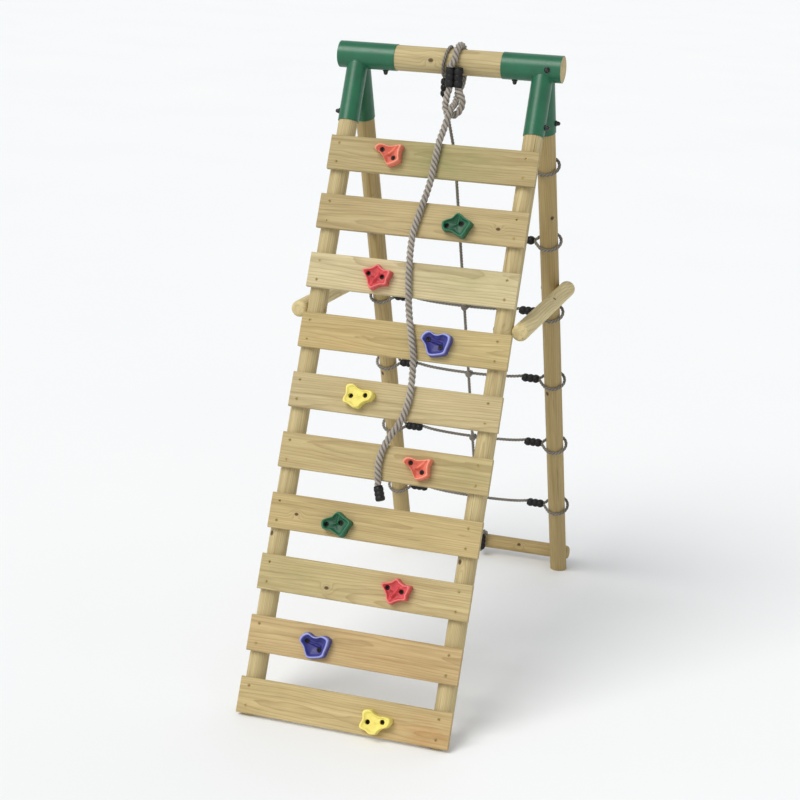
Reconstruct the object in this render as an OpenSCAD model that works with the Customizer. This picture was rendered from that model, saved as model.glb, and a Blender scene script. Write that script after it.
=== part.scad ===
// Climbing wall module for a garden play tower: two splayed A-frames of round wooden
// legs joined by a round beam, with a slatted climbing wall and a knotted rope on the
// front and a scramble net on the back.
// The frame stands on the ground (z = 0). +X runs along the beam, -Y is the wall's side.

/* [Frame] */
// Height of the beam's axis above the ground
beam_height = 2030; // [1850:1:2300]
// Diameter of the beam
beam_d = 85; // [75:0.5:95]
// Diameter of the legs
leg_d = 64; // [56:0.5:72]
// Distance between the left and the right legs, axis to axis
leg_spacing = 639; // [600:1:760]
// Distance along the ground from below the beam to a front foot
front_run = 866; // [720:1:1000]
// Distance along the ground from below the beam to a rear foot
rear_run = 776; // [680:1:900]
// Distance from the beam's axis to the top end of a leg
leg_top = 98; // [92:1:110]

/* [Brackets] */
// Wall of the sleeve round the beam
sleeve_wall = 1.8; // [1.5:0.1:3]
// Wall of the sockets round the legs
socket_wall = 2.6; // [2:0.1:4]
// Gap between a tube and the wood in it
tube_gap = 0.25; // [0.15:0.05:0.5]
// Length of the sleeve from the legs' plane towards the middle of the beam
sleeve_inner = 136; // [120:1:170]
// Length of the sleeve from the legs' plane to its outer end
sleeve_outer = 64; // [55:1:80]
// Length of a socket from the beam's axis
socket_reach = 232; // [215:1:270]
// Diameter of the screws in the brackets
bracket_screw_d = 8; // [6:0.5:10]
// Depth of the bracket screws in the wood
bracket_screw_depth = 40; // [30:1:50]
// Distance from a socket's open end to its screw
socket_screw_edge = 34; // [25:1:45]

/* [Wall boards] */
// Width of a board, down the slope
board_h = 116.5; // [95:0.5:140]
// Thickness of a board
board_t = 20; // [16:0.5:26]
// Distance between the boards' top edges
board_pitch = 200.6; // [165:0.2:202]
// Distance down the slope from the beam's axis to the first board
board_start = 293; // [270:1:294]
// Length of a board beyond the legs' axes
board_overhang = 35.5; // [33:0.5:45]
// Rounding of a board's long edges
board_edge = 4; // [2:0.5:6]
// Diameter of the board screws
board_screw_d = 5; // [4:0.5:6]
// Length of the board screws
board_screw_len = 60; // [45:1:70]
// Distance of a board screw from the middle of the board
board_screw_offset = 32; // [20:1:38]

/* [Holds] */
// Width of a climbing hold
hold_w = 101; // [85:1:110]
// Height of a climbing hold
hold_h = 86; // [70:1:95]
// Depth of a climbing hold
hold_depth = 34; // [28:0.5:42]
// Thickness of a hold under its screw heads
hold_floor = 11; // [8:0.5:14]
// Diameter of the hold bolts
hold_bolt_d = 8; // [6:0.5:10]

/* [Rails] */
// Diameter of the side rails
side_rail_d = 56; // [48:0.5:62]
// Height of the left rail's axis at the front leg
left_rail_height = 1222; // [1216:1:1232]
// Height of the right rail's axis at the front leg
right_rail_height = 1226; // [1216:1:1232]
// Rise of the left rail from front to back
left_rail_rise = -16; // [-30:1:30]
// Rise of the right rail from front to back
right_rail_rise = 8; // [-30:1:30]
// Length of a side rail past the axis of the front leg
rail_front = 20; // [16:1:36]
// Length of a side rail past the axis of the rear leg
rail_back = 24; // [20:1:40]
// Depth of the saddle cut into a rail where a leg bears
saddle = 2; // [1:0.5:5]
// Diameter of the rear rail
rear_rail_d = 54; // [44:0.5:60]
// Height of the rear rail's axis
rear_rail_height = 54; // [45:1:90]
// Length of the rear rail past the legs' axes
rear_rail_over = 30; // [26:1:60]
// Diameter of the rail bolts
rail_bolt_d = 8; // [6:0.5:10]

/* [Net] */
// Diameter of the net ropes
net_rope_d = 10; // [8:0.5:11]
// Distance down the rear legs from the beam's axis to the first net rope
net_start = 365; // [330:1:400]
// Distance between the net ropes
net_pitch = 297.8; // [240:0.2:300]
// Sag of a net rope at its middle
net_sag = 10; // [4:0.5:18]
// Distance from a rear leg's axis to the middle of a rope clamp
net_clamp_reach = 84; // [78:1:100]
// Slack of a rope's eye round its leg
net_eye_slack = 5; // [3:0.5:8]
// Drop of a rope's eye at the front of its leg, degrees
net_eye_drop = 18; // [0:1:24]
// Length of a net rope clamp
clamp_len = 55; // [45:1:60]
// Diameter of a net rope clamp over its ribs
clamp_d = 29; // [27:0.5:32]

/* [Climbing rope] */
// Diameter of the climbing rope
rope_d = 24; // [20:0.5:24.5]
// Length of the double clamp under the beam
double_clamp_len = 60; // [50:1:64]
// Distance between the two bores of the double clamp
double_clamp_pitch = 29; // [28.5:0.5:32]
// Length of the clamp on the rope's free end
end_clamp_len = 46; // [40:1:52]
// Wall of a rope clamp
clamp_wall = 4; // [3.2:0.1:5]

/* [Hidden] */
$fn = 64;
SIDES = ["left", "right"];
function numbered(stem, i) = str(stem, i < 10 ? "0" : "", i);

BOARDS = 10;
NET_ROPES = 6;
slip = 0.3;                     // gap between pieces that touch on curved faces
tiny = 0.02;
leg_r = leg_d / 2;
beam_r = beam_d / 2;
leg_x = leg_spacing / 2;
front_lean = atan(front_run / beam_height);
rear_lean = atan(rear_run / beam_height);
front_leg_len = norm([front_run, beam_height]);
rear_leg_len = norm([rear_run, beam_height]);
sleeve_r = beam_r + tube_gap + sleeve_wall;
socket_r = leg_r + tube_gap + socket_wall;
beam_len = leg_spacing + 2 * sleeve_outer + 3;
socket_screw_s = socket_reach - socket_screw_edge;
sleeve_screw_x = leg_x - sleeve_inner + 40;   // screw under the sleeve
side_screw_x = leg_x + 21;                    // screw through the sleeve's side
screw_gap = 0.1;
board_face = leg_r + board_t;                 // front face of the boards, from the legs' axes
board_len = leg_spacing + 2 * board_overhang;
board_shift = 5;                              // the boards sit a little to the right
BOARD_JITTER = [0, -3, -3, 2, 4, 3, 2, 1, 0, 0];
HOLD_X = [-140, 131, -111, 122, -104, 124, -109, 120, -118, 124];
HOLD_DROP = [0, 10, 7, 2, 1, 6, 16, -1, 10, 12];
HOLD_KIND = ["tapered", "star", "ridged", "bean", "lobed",
             "tapered", "star", "ridged", "bean", "lobed"];
nut_h = 6.5;

// The object is centred on its own box: the reach of the lowest hold in front,
// and of the rear rail's bolts behind.
front_reach = (board_start + (BOARDS - 1) * board_pitch + board_h / 2 + 4 + hold_h * 0.38) * sin(front_lean)
            + (board_face + hold_depth) * cos(front_lean);
rear_reach = (beam_height - rear_rail_height) * tan(rear_lean)
           + (leg_r + rear_rail_d) / cos(rear_lean) + 4;
frame_y = (front_reach - rear_reach) / 2;

// ---- places -------------------------------------------------------------------

// Front wall's frame: x along the beam, y into the wall, -z down the front legs
module front_frame() { translate([0, frame_y, beam_height]) rotate([-front_lean, 0, 0]) children(); }

// Rear legs' frame: x along the beam, +y out to the back, -z down the rear legs
module rear_frame() { translate([0, frame_y, beam_height]) rotate([rear_lean, 0, 0]) children(); }

module beam_frame() { translate([0, frame_y, beam_height]) children(); }

module along_x() { rotate([0, 90, 0]) children(); }
module along_y() { rotate([-90, 0, 0]) children(); }

module mirrored(side) { mirror([side == "left" ? 1 : 0, 0, 0]) children(); }
function sign_of(side) = side == "left" ? -1 : 1;

function from_beam(p) = [p.x, frame_y + p.y, beam_height + p.z];
function from_front(p) = [p.x, frame_y + p.y * cos(front_lean) + p.z * sin(front_lean),
                          beam_height - p.y * sin(front_lean) + p.z * cos(front_lean)];
function from_rear(p) = [p.x, frame_y + p.y * cos(rear_lean) - p.z * sin(rear_lean),
                         beam_height + p.y * sin(rear_lean) + p.z * cos(rear_lean)];

// ---- ropes --------------------------------------------------------------------

function unit(v) = v / norm(v);

// A smooth curve through points, with n steps from each to the next
function between(a, b, c, d, t) =
    0.5 * (2 * b + (c - a) * t + (2 * a - 5 * b + 4 * c - d) * t * t + (3 * b - a - 3 * c + d) * t * t * t);
function smooth(p, n) = concat(
    [for (i = [0:len(p) - 2], k = [0:n - 1])
        between(p[max(i - 1, 0)], p[i], p[i + 1], p[min(i + 2, len(p) - 1)], k / n)],
    [p[len(p) - 1]]);

// Directions along a path, and a side direction carried along it without twist
function headings(p) = [for (i = [0:len(p) - 1]) unit(p[min(i + 1, len(p) - 1)] - p[max(i - 1, 0)])];
function sideways(t, v, i = 0) =
    i == len(t) ? [] : let (s = unit(v - (v * t[i]) * t[i])) concat([s], sideways(t, s, i + 1));

module rope(path, d, sides) {
    t = headings(path);
    s = sideways(t, cross(t[0], [0.31, 0.52, 0.79]));
    last = len(path) - 1;
    points = [for (i = [0:last], k = [0:sides - 1])
        path[i] + d / 2 * (cos(360 * k / sides) * s[i] + sin(360 * k / sides) * cross(t[i], s[i]))];
    walls = [for (i = [0:last - 1], k = [0:sides - 1], half = [0, 1])
        let (a = i * sides + k, b = i * sides + (k + 1) % sides)
        half == 0 ? [a, b + sides, b] : [a, a + sides, b + sides]];
    ends = [[for (k = [0:sides - 1]) k],
            [for (k = [sides - 1:-1:0]) last * sides + k]];
    polyhedron(points, concat(walls, ends), convexity = 10);
}

// Moulded clamp with three ribs, on the z axis and centred
function ribs(r, groove, len, n) = [for (k = [0:n * 6])
    [r - groove * (1 - abs(sin(180 * k / 6))) ^ 2, -len / 2 + len * k / (n * 6)]];
module ribbed(r, groove, len) {
    rotate_extrude() polygon(concat([[0, -len / 2]], ribs(r, groove, len, 3), [[0, len / 2]]));
}

// Clamp for the two strands of a net rope, on the z axis, strands apart along x
net_strand = net_rope_d / 2 + slip;
module net_clamp() {
    color("#1c1c1e") difference() {
        ribbed(clamp_d / 2, 3, clamp_len);
        for (x = [-net_strand, net_strand])
            translate([x, 0, 0]) cylinder(r = net_rope_d / 2 + slip / 2, h = clamp_len + 2, center = true);
    }
}

// ---- frame --------------------------------------------------------------------

module bracket_screw_holes() {
    for (side = SIDES) mirrored(side) {
        for (lean = [-front_lean, rear_lean])
            beam_frame() rotate([lean, 0, 0]) translate([leg_x, 0, -socket_screw_s]) along_x()
                translate([0, 0, leg_r - bracket_screw_depth - 1])
                    cylinder(d = bracket_screw_d + 2 * screw_gap, h = bracket_screw_depth + 12);
        beam_frame() translate([sleeve_screw_x, 0, -beam_r - 12])
            cylinder(d = bracket_screw_d + 2 * screw_gap, h = bracket_screw_depth + 13);
        // the brackets are one pattern, turned about: the side screw faces front on the right only
        beam_frame() translate([side_screw_x, 0, 0])
            rotate([side == "left" ? 180 : 0, 0, 0]) translate([0, -beam_r - 12, 0]) along_y()
                cylinder(d = bracket_screw_d + 2 * screw_gap, h = bracket_screw_depth + 13);
    }
}

module beam() {
    color("#cdbb8a") difference() {
        beam_frame() along_x() rotate_extrude()
            polygon([[0, -beam_len / 2], [beam_r - 2, -beam_len / 2], [beam_r, -beam_len / 2 + 2],
                     [beam_r, beam_len / 2 - 2], [beam_r - 2, beam_len / 2], [0, beam_len / 2]]);
        bracket_screw_holes();
    }
}

// Sleeve on the beam with two splayed leg sockets welded under it
module bracket(side) {
    color("#2e6e4c") difference() {
        mirrored(side) beam_frame() difference() {
            union() {
                difference() {
                    for (lean = [-front_lean, rear_lean])
                        rotate([lean, 0, 0]) translate([leg_x, 0, -socket_reach])
                            cylinder(r = socket_r, h = socket_reach);
                    for (lean = [-front_lean, rear_lean])
                        rotate([lean, 0, 0]) translate([leg_x, 0, -socket_reach - 1])
                            cylinder(r = leg_r + tube_gap, h = socket_reach + 1);
                }
                translate([leg_x - sleeve_inner, 0, 0]) along_x()
                    cylinder(r = sleeve_r, h = sleeve_inner + sleeve_outer);
            }
            translate([leg_x - sleeve_inner - 1, 0, 0]) along_x()
                cylinder(r = beam_r + tube_gap, h = sleeve_inner + sleeve_outer + 2);
        }
        bracket_screw_holes();
    }
}

// Coach screw with a moulded cap, head outwards along +z, z = 0 on the tube's face
module capped_screw(depth) {
    color("#1c1c1e") rotate_extrude()
        polygon([[0, 0], [10, 0], [10, 3], [8, 4.5], [7.4, 9], [5.4, 13], [2.4, 15], [0, 15.6]]);
    color("#8c8f94") translate([0, 0, -depth]) cylinder(d = bracket_screw_d, h = depth + tiny);
}

module bracket_screws() {
    for (side = SIDES) mirrored(side) {
        for (lean = [-front_lean, rear_lean])
            beam_frame() rotate([lean, 0, 0]) translate([leg_x + socket_r, 0, -socket_screw_s]) along_x()
                capped_screw(bracket_screw_depth);
        beam_frame() translate([sleeve_screw_x, 0, -sleeve_r]) rotate([180, 0, 0])
            capped_screw(bracket_screw_depth);
        beam_frame() translate([side_screw_x, 0, 0])
            rotate([side == "left" ? -90 : 90, 0, 0]) translate([0, 0, sleeve_r])
                capped_screw(bracket_screw_depth);
    }
}

module ground_cut() { translate([-2000, -2000, -500]) cube([4000, 4000, 500]); }

module front_leg(side) {
    color("#c8b684") difference() {
        front_frame() translate([sign_of(side) * leg_x, 0, -front_leg_len - 60])
            cylinder(r = leg_r, h = front_leg_len + 60 - leg_top);
        ground_cut();
        bracket_screw_holes();
        board_screw_holes();
        rail_bolt_holes();
    }
}

module rear_leg(side) {
    color("#b09566") difference() {
        rear_frame() translate([sign_of(side) * leg_x, 0, -rear_leg_len - 60])
            cylinder(r = leg_r, h = rear_leg_len + 60 - leg_top);
        ground_cut();
        bracket_screw_holes();
        rail_bolt_holes();
    }
}

// ---- wall boards ----------------------------------------------------------------

function board_s(i) = board_start + (i - 1) * board_pitch;    // top edge of board i
function corner(cx, cy, r, from) =
    [for (k = [0:4]) [cx + r * cos(from + k * 22.5), cy + r * sin(from + k * 22.5)]];
function rounded(w, h, r) = concat(
    corner(w - r, h - r, r, 0), corner(r, h - r, r, 90), corner(r, r, r, 180), corner(w - r, r, r, 270));

// Places its children on the middle of board i's front face, +z outwards, +y up the slope
module on_board(i, x, up) {
    front_frame() translate([x, -board_face, -board_s(i) - board_h / 2 + up]) rotate([90, 0, 0]) children();
}

module board_screw_holes() {
    for (i = [1:BOARDS], side = [-1, 1], up = [-1, 1])
        on_board(i, side * leg_x, up * board_screw_offset) {
            translate([0, 0, -board_screw_len - 1]) cylinder(d = board_screw_d + 0.4, h = board_screw_len + 2);
            translate([0, 0, -board_screw_d * 0.6]) cylinder(d1 = board_screw_d, d2 = board_screw_d * 2.2, h = board_screw_d * 0.6 + tiny);
        }
}

module board(i) {
    color("#cbbd8e") difference() {
        on_board(i, board_shift + BOARD_JITTER[i - 1] - board_len / 2, -board_h / 2)
            rotate([90, 0, 90]) translate([0, -board_t, 0])
                linear_extrude(board_len) polygon(rounded(board_h, board_t, board_edge));
        board_screw_holes();
        for (bolt = hold_bolt_places(i))
            on_board(i, bolt.x, bolt.y) translate([0, 0, -board_t - 1])
                cylinder(d = hold_bolt_d + 0.6, h = board_t + 2);
    }
}

module board_screws() {
    head_h = board_screw_d * 0.6;
    color("#77706a") for (i = [1:BOARDS], side = [-1, 1], up = [-1, 1])
        on_board(i, side * leg_x, up * board_screw_offset) {
            translate([0, 0, -board_screw_len]) cylinder(d = board_screw_d, h = board_screw_len - head_h + tiny);
            translate([0, 0, -head_h]) cylinder(d1 = board_screw_d, d2 = board_screw_d * 1.9, h = head_h - 0.4);
        }
}

// ---- holds ----------------------------------------------------------------------

// Outlines in halves of the hold's width and height, as corners that are then smoothed
function hold_corners(kind) =
    kind == "tapered" ? [[-0.93, 0.42], [-0.74, 0.76], [-0.39, 0.8], [-0.02, 0.69], [0.33, 0.7], [0.93, 0.85],
                         [0.87, 0.45], [0.86, -0.04], [0.88, -0.45], [0.22, -0.85], [0, -0.65], [-0.27, -0.16],
                         [-0.55, 0.14]] :
    kind == "star" ? [[-0.99, 0.07], [-0.7, 0.32], [-0.36, 0.5], [0.01, 0.93], [0.5, 0.6], [0.99, 0.27],
                      [0.81, -0.26], [0.51, -0.93], [0.14, -0.82], [-0.33, -0.56], [-0.87, -0.5]] :
    kind == "ridged" ? [[-0.98, 0.45], [-0.65, 0.59], [-0.31, 0.72], [0.03, 1], [0.26, 0.78], [0.59, 0.6],
                        [0.98, 0.56], [0.95, 0.23], [0.83, -0.13], [0.81, -0.52], [0.43, -0.6], [0.1, -0.78],
                        [-0.21, -1], [-0.43, -0.78], [-0.55, -0.37], [-0.72, -0.02]] :
    kind == "bean" ? [[-1, 0.33], [-0.83, 0.75], [-0.49, 0.95], [-0.12, 0.75], [0.21, 0.73], [0.59, 0.88],
                      [0.99, 0.7], [1, 0.27], [0.88, -0.25], [0.74, -0.7], [0.19, -0.91], [-0.29, -0.95],
                      [-0.49, -0.64], [-0.64, -0.22], [-0.81, 0.04]] :
    [[-0.92, 0.67], [-0.71, 0.89], [-0.4, 0.89], [-0.15, 0.67], [0.19, 0.54], [0.58, 0.58],
     [0.92, 0.49], [1, 0.19], [0.81, -0.18], [0.47, -0.36], [0.25, -0.59], [0.09, -0.85],
     [-0.28, -0.89], [-0.6, -0.68], [-0.96, -0.56], [-1, -0.27], [-0.88, 0.13]];
function hold_bolt_spread(kind) =
    kind == "tapered" ? [[-21, 17], [21, -9]] :
    kind == "star" ? [[-32, -6], [15, 5]] :
    kind == "ridged" ? [[-27, 9], [21, 2]] :
    kind == "bean" ? [[-26, 13], [18, -9]] :
    [[-25, -1], [23, 6]];
function hold_bolt_places(i) =
    [for (b = hold_bolt_spread(HOLD_KIND[i - 1])) [HOLD_X[i - 1] + b[0], b[1] - HOLD_DROP[i - 1]]];

function closed_curve(p, n) = [for (i = [0:len(p) - 1], k = [0:n - 1])
    let (m = len(p)) between(p[(i + m - 1) % m], p[i], p[(i + 1) % m], p[(i + 2) % m], k / n)];

// A ring of the hold at height z, its outline scaled to k
function hold_ring(outline, k, z) =
    [for (p = outline) [p[0] * k * hold_w / 2, p[1] * k * hold_h / 2, z]];

// Height and share of the outline, from the foot over the rim and down into the dish
function hold_section(d, f) = [[0, 1], [d * 0.2, 1], [d * 0.55, 0.95], [d * 0.88, 0.86], [d, 0.78],
                               [d * 0.97, 0.7], [d * 0.72, 0.6], [f + 4, 0.42]];

HOLD_COLORS = ["#e5806a", "#1f6b4a", "#d9545c", "#4a4fa6", "#e8d772"];
module hold(i) {
    outline = closed_curve(hold_corners(HOLD_KIND[i - 1]), 3);
    n = len(outline);
    rings = [for (s = hold_section(hold_depth, hold_floor)) hold_ring(outline, s[1], s[0])];
    last = len(rings) - 1;
    points = concat([for (r = rings) each r], [[0, 0, 0], [0, 0, hold_floor + 4]]);
    foot = n * (last + 1);
    faces = concat(
        [for (j = [0:last - 1], k = [0:n - 1], half = [0, 1])
            let (a = j * n + k, b = j * n + (k + 1) % n)
            half == 0 ? [a, b + n, b] : [a, a + n, b + n]],
        [for (k = [0:n - 1]) [foot, k, (k + 1) % n]],
        [for (k = [0:n - 1]) [foot + 1, last * n + (k + 1) % n, last * n + k]]);
    clockwise = signed_area(outline) < 0;
    color(HOLD_COLORS[(i - 1) % 5]) difference() {
        on_board(i, HOLD_X[i - 1], -HOLD_DROP[i - 1])
            polyhedron(points, clockwise ? faces : [for (f = faces) [f[0], f[2], f[1]]], convexity = 6);
        for (bolt = hold_bolt_places(i))
            on_board(i, bolt.x, bolt.y) {
                translate([0, 0, hold_floor]) cylinder(d = hold_bolt_d * 2, h = hold_depth);
                translate([0, 0, -1]) cylinder(d = hold_bolt_d + 0.6, h = hold_floor + 2);
            }
    }
}
function signed_area(p) = let (n = len(p))
    [for (k = [0:n - 1]) p[k][0] * p[(k + 1) % n][1] - p[(k + 1) % n][0] * p[k][1]] * [for (k = [0:n - 1]) 0.5];

module hold_bolts() {
    color("#3a3b3e") for (i = [1:BOARDS], bolt = hold_bolt_places(i))
        on_board(i, bolt.x, bolt.y) {
            difference() {
                translate([0, 0, hold_floor]) cylinder(d = hold_bolt_d * 1.75, h = hold_bolt_d * 0.75);
                translate([0, 0, hold_floor + 2]) cylinder(d = hold_bolt_d * 0.85, h = hold_bolt_d, $fn = 6);
            }
            translate([0, 0, -board_t - nut_h - 2]) cylinder(d = hold_bolt_d, h = hold_floor + board_t + nut_h + 2 + tiny);
            translate([0, 0, -board_t - nut_h]) cylinder(d = hold_bolt_d * 1.9, h = nut_h, $fn = 6);
        }
}

// ---- rails ----------------------------------------------------------------------

// Round rail from z = 0 to len with rounded ends
module rail(d, len, dome) {
    rotate_extrude() polygon(concat(
        [[0, 0]],
        [for (k = [0:6]) [d / 2 - dome + dome * sin(15 * k), dome - dome * cos(15 * k)]],
        [for (k = [6:-1:0]) [d / 2 - dome + dome * sin(15 * k), len - dome + dome * cos(15 * k)]],
        [[0, len]]));
}

rail_x = leg_x + leg_r + side_rail_d / 2 - saddle;
function rail_height(side) = side == "left" ? left_rail_height : right_rail_height;
function rail_rise(side) = side == "left" ? left_rail_rise : right_rail_rise;
function front_leg_y(z) = frame_y - (beam_height - z) * tan(front_lean);
function rear_leg_y(z) = frame_y + (beam_height - z) * tan(rear_lean);
function rail_front_end(side) = [sign_of(side) * rail_x, front_leg_y(rail_height(side)), rail_height(side)];
function rail_back_end(side) = let (z = rail_height(side) + rail_rise(side))
    [sign_of(side) * rail_x, rear_leg_y(z), z];

module side_rail(side) {
    a = rail_front_end(side);
    b = rail_back_end(side);
    span = norm(b - a);
    pitch = asin((b.z - a.z) / span);
    color("#c3b17c") difference() {
        translate(a) rotate([pitch, 0, 0]) rotate([-90, 0, 0]) translate([0, 0, -rail_front])
            rail(side_rail_d, span + rail_front + rail_back, 13);
        front_frame() translate([sign_of(side) * leg_x, 0, -front_leg_len])
            cylinder(r = leg_r + slip / 2, h = front_leg_len);
        rear_frame() translate([sign_of(side) * leg_x, 0, -rear_leg_len])
            cylinder(r = leg_r + slip / 2, h = rear_leg_len);
        rail_bolt_holes();
    }
}

// The rear rail lies behind the rear legs
rear_rail_back = (leg_r + rear_rail_d / 2 - saddle) / cos(rear_lean);
rear_rail_y = rear_leg_y(rear_rail_height) + rear_rail_back;
module rear_rail() {
    len = leg_spacing + 2 * rear_rail_over;
    color("#b7a470") difference() {
        translate([-len / 2, rear_rail_y, rear_rail_height]) along_x() rail(rear_rail_d, len, 13);
        for (side = [-1, 1])
            rear_frame() translate([side * leg_x, 0, -rear_leg_len - 60])
                cylinder(r = leg_r + slip / 2, h = rear_leg_len);
        rail_bolt_holes();
    }
}

// Places its children on each rail bolt's axis, +z towards the head, z = 0 under the head
module on_rail_bolts() {
    for (side = SIDES, end = [rail_front_end(side), rail_back_end(side)])
        translate([sign_of(side) * (leg_x - leg_r), end.y, end.z]) mirrored(side) rotate([0, -90, 0]) children();
    for (side = [-1, 1])
        translate([side * leg_x, rear_rail_y, rear_rail_height]) rotate([rear_lean, 0, 0])
            translate([0, rear_rail_d / 2, 0]) rotate([-90, 0, 0]) children();
}
rail_bolt_len = leg_d + side_rail_d * 0.6;
rail_seat = 4;                  // depth of the flat that a bolt head sits on
module rail_bolt_holes() {
    on_rail_bolts() {
        translate([0, 0, -rail_bolt_len - 1]) cylinder(d = rail_bolt_d + 0.6, h = rail_bolt_len + 2);
        translate([0, 0, -rail_seat]) cylinder(d = rail_bolt_d * 3, h = rail_seat + 20);
    }
}
module rail_bolts() {
    color("#8c8f94") on_rail_bolts() translate([0, 0, -rail_seat]) {
        translate([0, 0, rail_seat - rail_bolt_len]) cylinder(d = rail_bolt_d, h = rail_bolt_len - rail_seat + tiny);
        rotate_extrude() polygon([[0, 0], [11, 0], [11, 1.5], [9, 3.5], [6, 5], [0, 5.6]]);
    }
}

// ---- net ------------------------------------------------------------------------

// The eye of a net rope: from the clamp round the leg and back, seen along the leg.
// u runs outwards along the rope from the leg's axis, v up and back.
eye_r = leg_r + net_rope_d / 2 + net_eye_slack;
eye_tilt = net_eye_drop;
// the eye hangs on the front of its leg
eye_shift = eye_r - (leg_r + net_rope_d / 2 + slip + 0.4) / cos(eye_tilt);
function eye_route() = concat(
    [for (x = [-clamp_len / 2 + 4, 0, clamp_len / 2 + 1, clamp_len / 2 + 7]) [x - net_clamp_reach, -net_strand]],
    [for (a = [218:24:502]) [eye_r * cos(a), eye_r * sin(a) + eye_shift]],
    [for (x = [clamp_len / 2 + 7, clamp_len / 2 + 1, 0, -clamp_len / 2 - 1, -clamp_len / 2 - 8])
        [x - net_clamp_reach, net_strand]]);
function eye_point(side, s, q) =
    from_rear([side * (leg_x + q[0]), q[1] * cos(eye_tilt), -s + q[1] * sin(eye_tilt)]);

function reversed(p) = [for (i = [len(p) - 1:-1:0]) p[i]];
function net_s(i) = net_start + (i - 1) * net_pitch;
inner_x = leg_x - net_clamp_reach - clamp_len / 2 - 8;
sag_points = 8;
function sagging(s) = [for (k = [1:2 * sag_points - 1])
    let (u = (k - sag_points) / sag_points)
    from_rear([u * inner_x, net_strand * cos(eye_tilt) * u ^ 6,
               -s - net_sag * (1 - u * u) + net_strand * sin(eye_tilt) * u ^ 6])];
function net_route(s) = concat(
    [for (q = eye_route()) eye_point(-1, s, q)],
    sagging(s),
    [for (q = reversed(eye_route())) eye_point(1, s, q)]);

module net_rope(i) { color("#8d8478") rope(smooth(net_route(net_s(i)), 2), net_rope_d, 8); }

module net_clamps(side) {
    for (i = [1:NET_ROPES])
        rear_frame() translate([sign_of(side) * (leg_x - net_clamp_reach), 0, -net_s(i)])
            rotate([eye_tilt, 0, 0]) along_x() rotate([0, 0, 90]) net_clamp();
}

// The upright passes just in front of the net ropes, tied to each with a knot
upright_front = net_rope_d + 1.2;
knot_r = net_rope_d * 1.36;
module net_knots() {
    color("#9a8f80") for (i = [1:NET_ROPES])
        rear_frame() translate([0, 0, -net_s(i) - net_sag]) difference() {
            translate([0, -upright_front / 2, 0]) along_x() rotate_extrude()
                polygon([for (k = [-6:6]) [knot_r * cos(15 * k), knot_r * sin(15 * k)]]);
            along_x() cylinder(r = net_rope_d / 2 + slip, h = 4 * knot_r, center = true);
            translate([0, -upright_front, 0]) cylinder(r = net_rope_d / 2 + slip, h = 4 * knot_r, center = true);
        }
}

// Upright: an eye over the beam, closed by its clamp, then down the net to the rear rail,
// under the rail, over it and back into the lower clamp
top_clamp = [-16, 5, -87];                    // middle, from the beam's axis
over_beam_r = beam_r + net_rope_d / 2 + slip + 0.7;
function beam_eye() = concat(
    [for (z = [-clamp_len / 2 + 4, 0, clamp_len / 2 + 1, clamp_len / 2 + 6])
        [top_clamp.x, top_clamp.y - net_strand, top_clamp.z + z]],
    [for (a = [236:-26:-56]) [top_clamp.x * (1 - sin(a)) / 2, over_beam_r * cos(a), over_beam_r * sin(a)]],
    [for (z = [clamp_len / 2 + 6, clamp_len / 2 + 1, 0, -clamp_len / 2 - 1, -clamp_len / 2 - 7])
        [top_clamp.x, top_clamp.y + net_strand, top_clamp.z + z]]);

round_rail_r = rear_rail_d / 2 + net_rope_d / 2 + slip + 1.3;
low_clamp_y = -rear_rail_d / 2 - clamp_d / 2 - slip;    // from the rear rail's axis
low_clamp_z = 10;
function rail_eye() = concat(
    [for (z = [clamp_len / 2 + 8, clamp_len / 2 + 1, 0, -clamp_len / 2 - 1, -clamp_len / 2 - 5])
        [-net_strand, low_clamp_y, low_clamp_z + z]],
    [[-net_strand, low_clamp_y + 14, -round_rail_r * 0.96]],
    [for (a = [-100:34:110]) [net_strand * (a - 5) / 105, round_rail_r * cos(a), round_rail_r * sin(a)]],
    [[net_strand, low_clamp_y + 12, low_clamp_z + clamp_len / 2 + 14]],
    [for (z = [clamp_len / 2 + 6, clamp_len / 2 + 1, 0, 4 - clamp_len / 2])
        [net_strand, low_clamp_y, low_clamp_z + z]]);
function from_rear_rail(p) = [p.x, rear_rail_y + p.y, rear_rail_height + p.z];

module net_rope_upright() {
    last_s = net_s(NET_ROPES) + net_sag;
    color("#8d8478") rope(concat(
        smooth([for (p = beam_eye()) from_beam(p)], 2),
        [for (k = [0:24:last_s - net_start + 40])
            from_rear([0, -upright_front, -net_start + 20 - k])],
        smooth([for (p = rail_eye()) from_rear_rail(p)], 2)), net_rope_d, 8);
}

module net_clamp_top() { beam_frame() translate(top_clamp) rotate([0, 0, 90]) net_clamp(); }
module net_clamp_bottom() {
    translate(from_rear_rail([0, low_clamp_y, low_clamp_z])) net_clamp();
}

// ---- climbing rope ----------------------------------------------------------------

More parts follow.
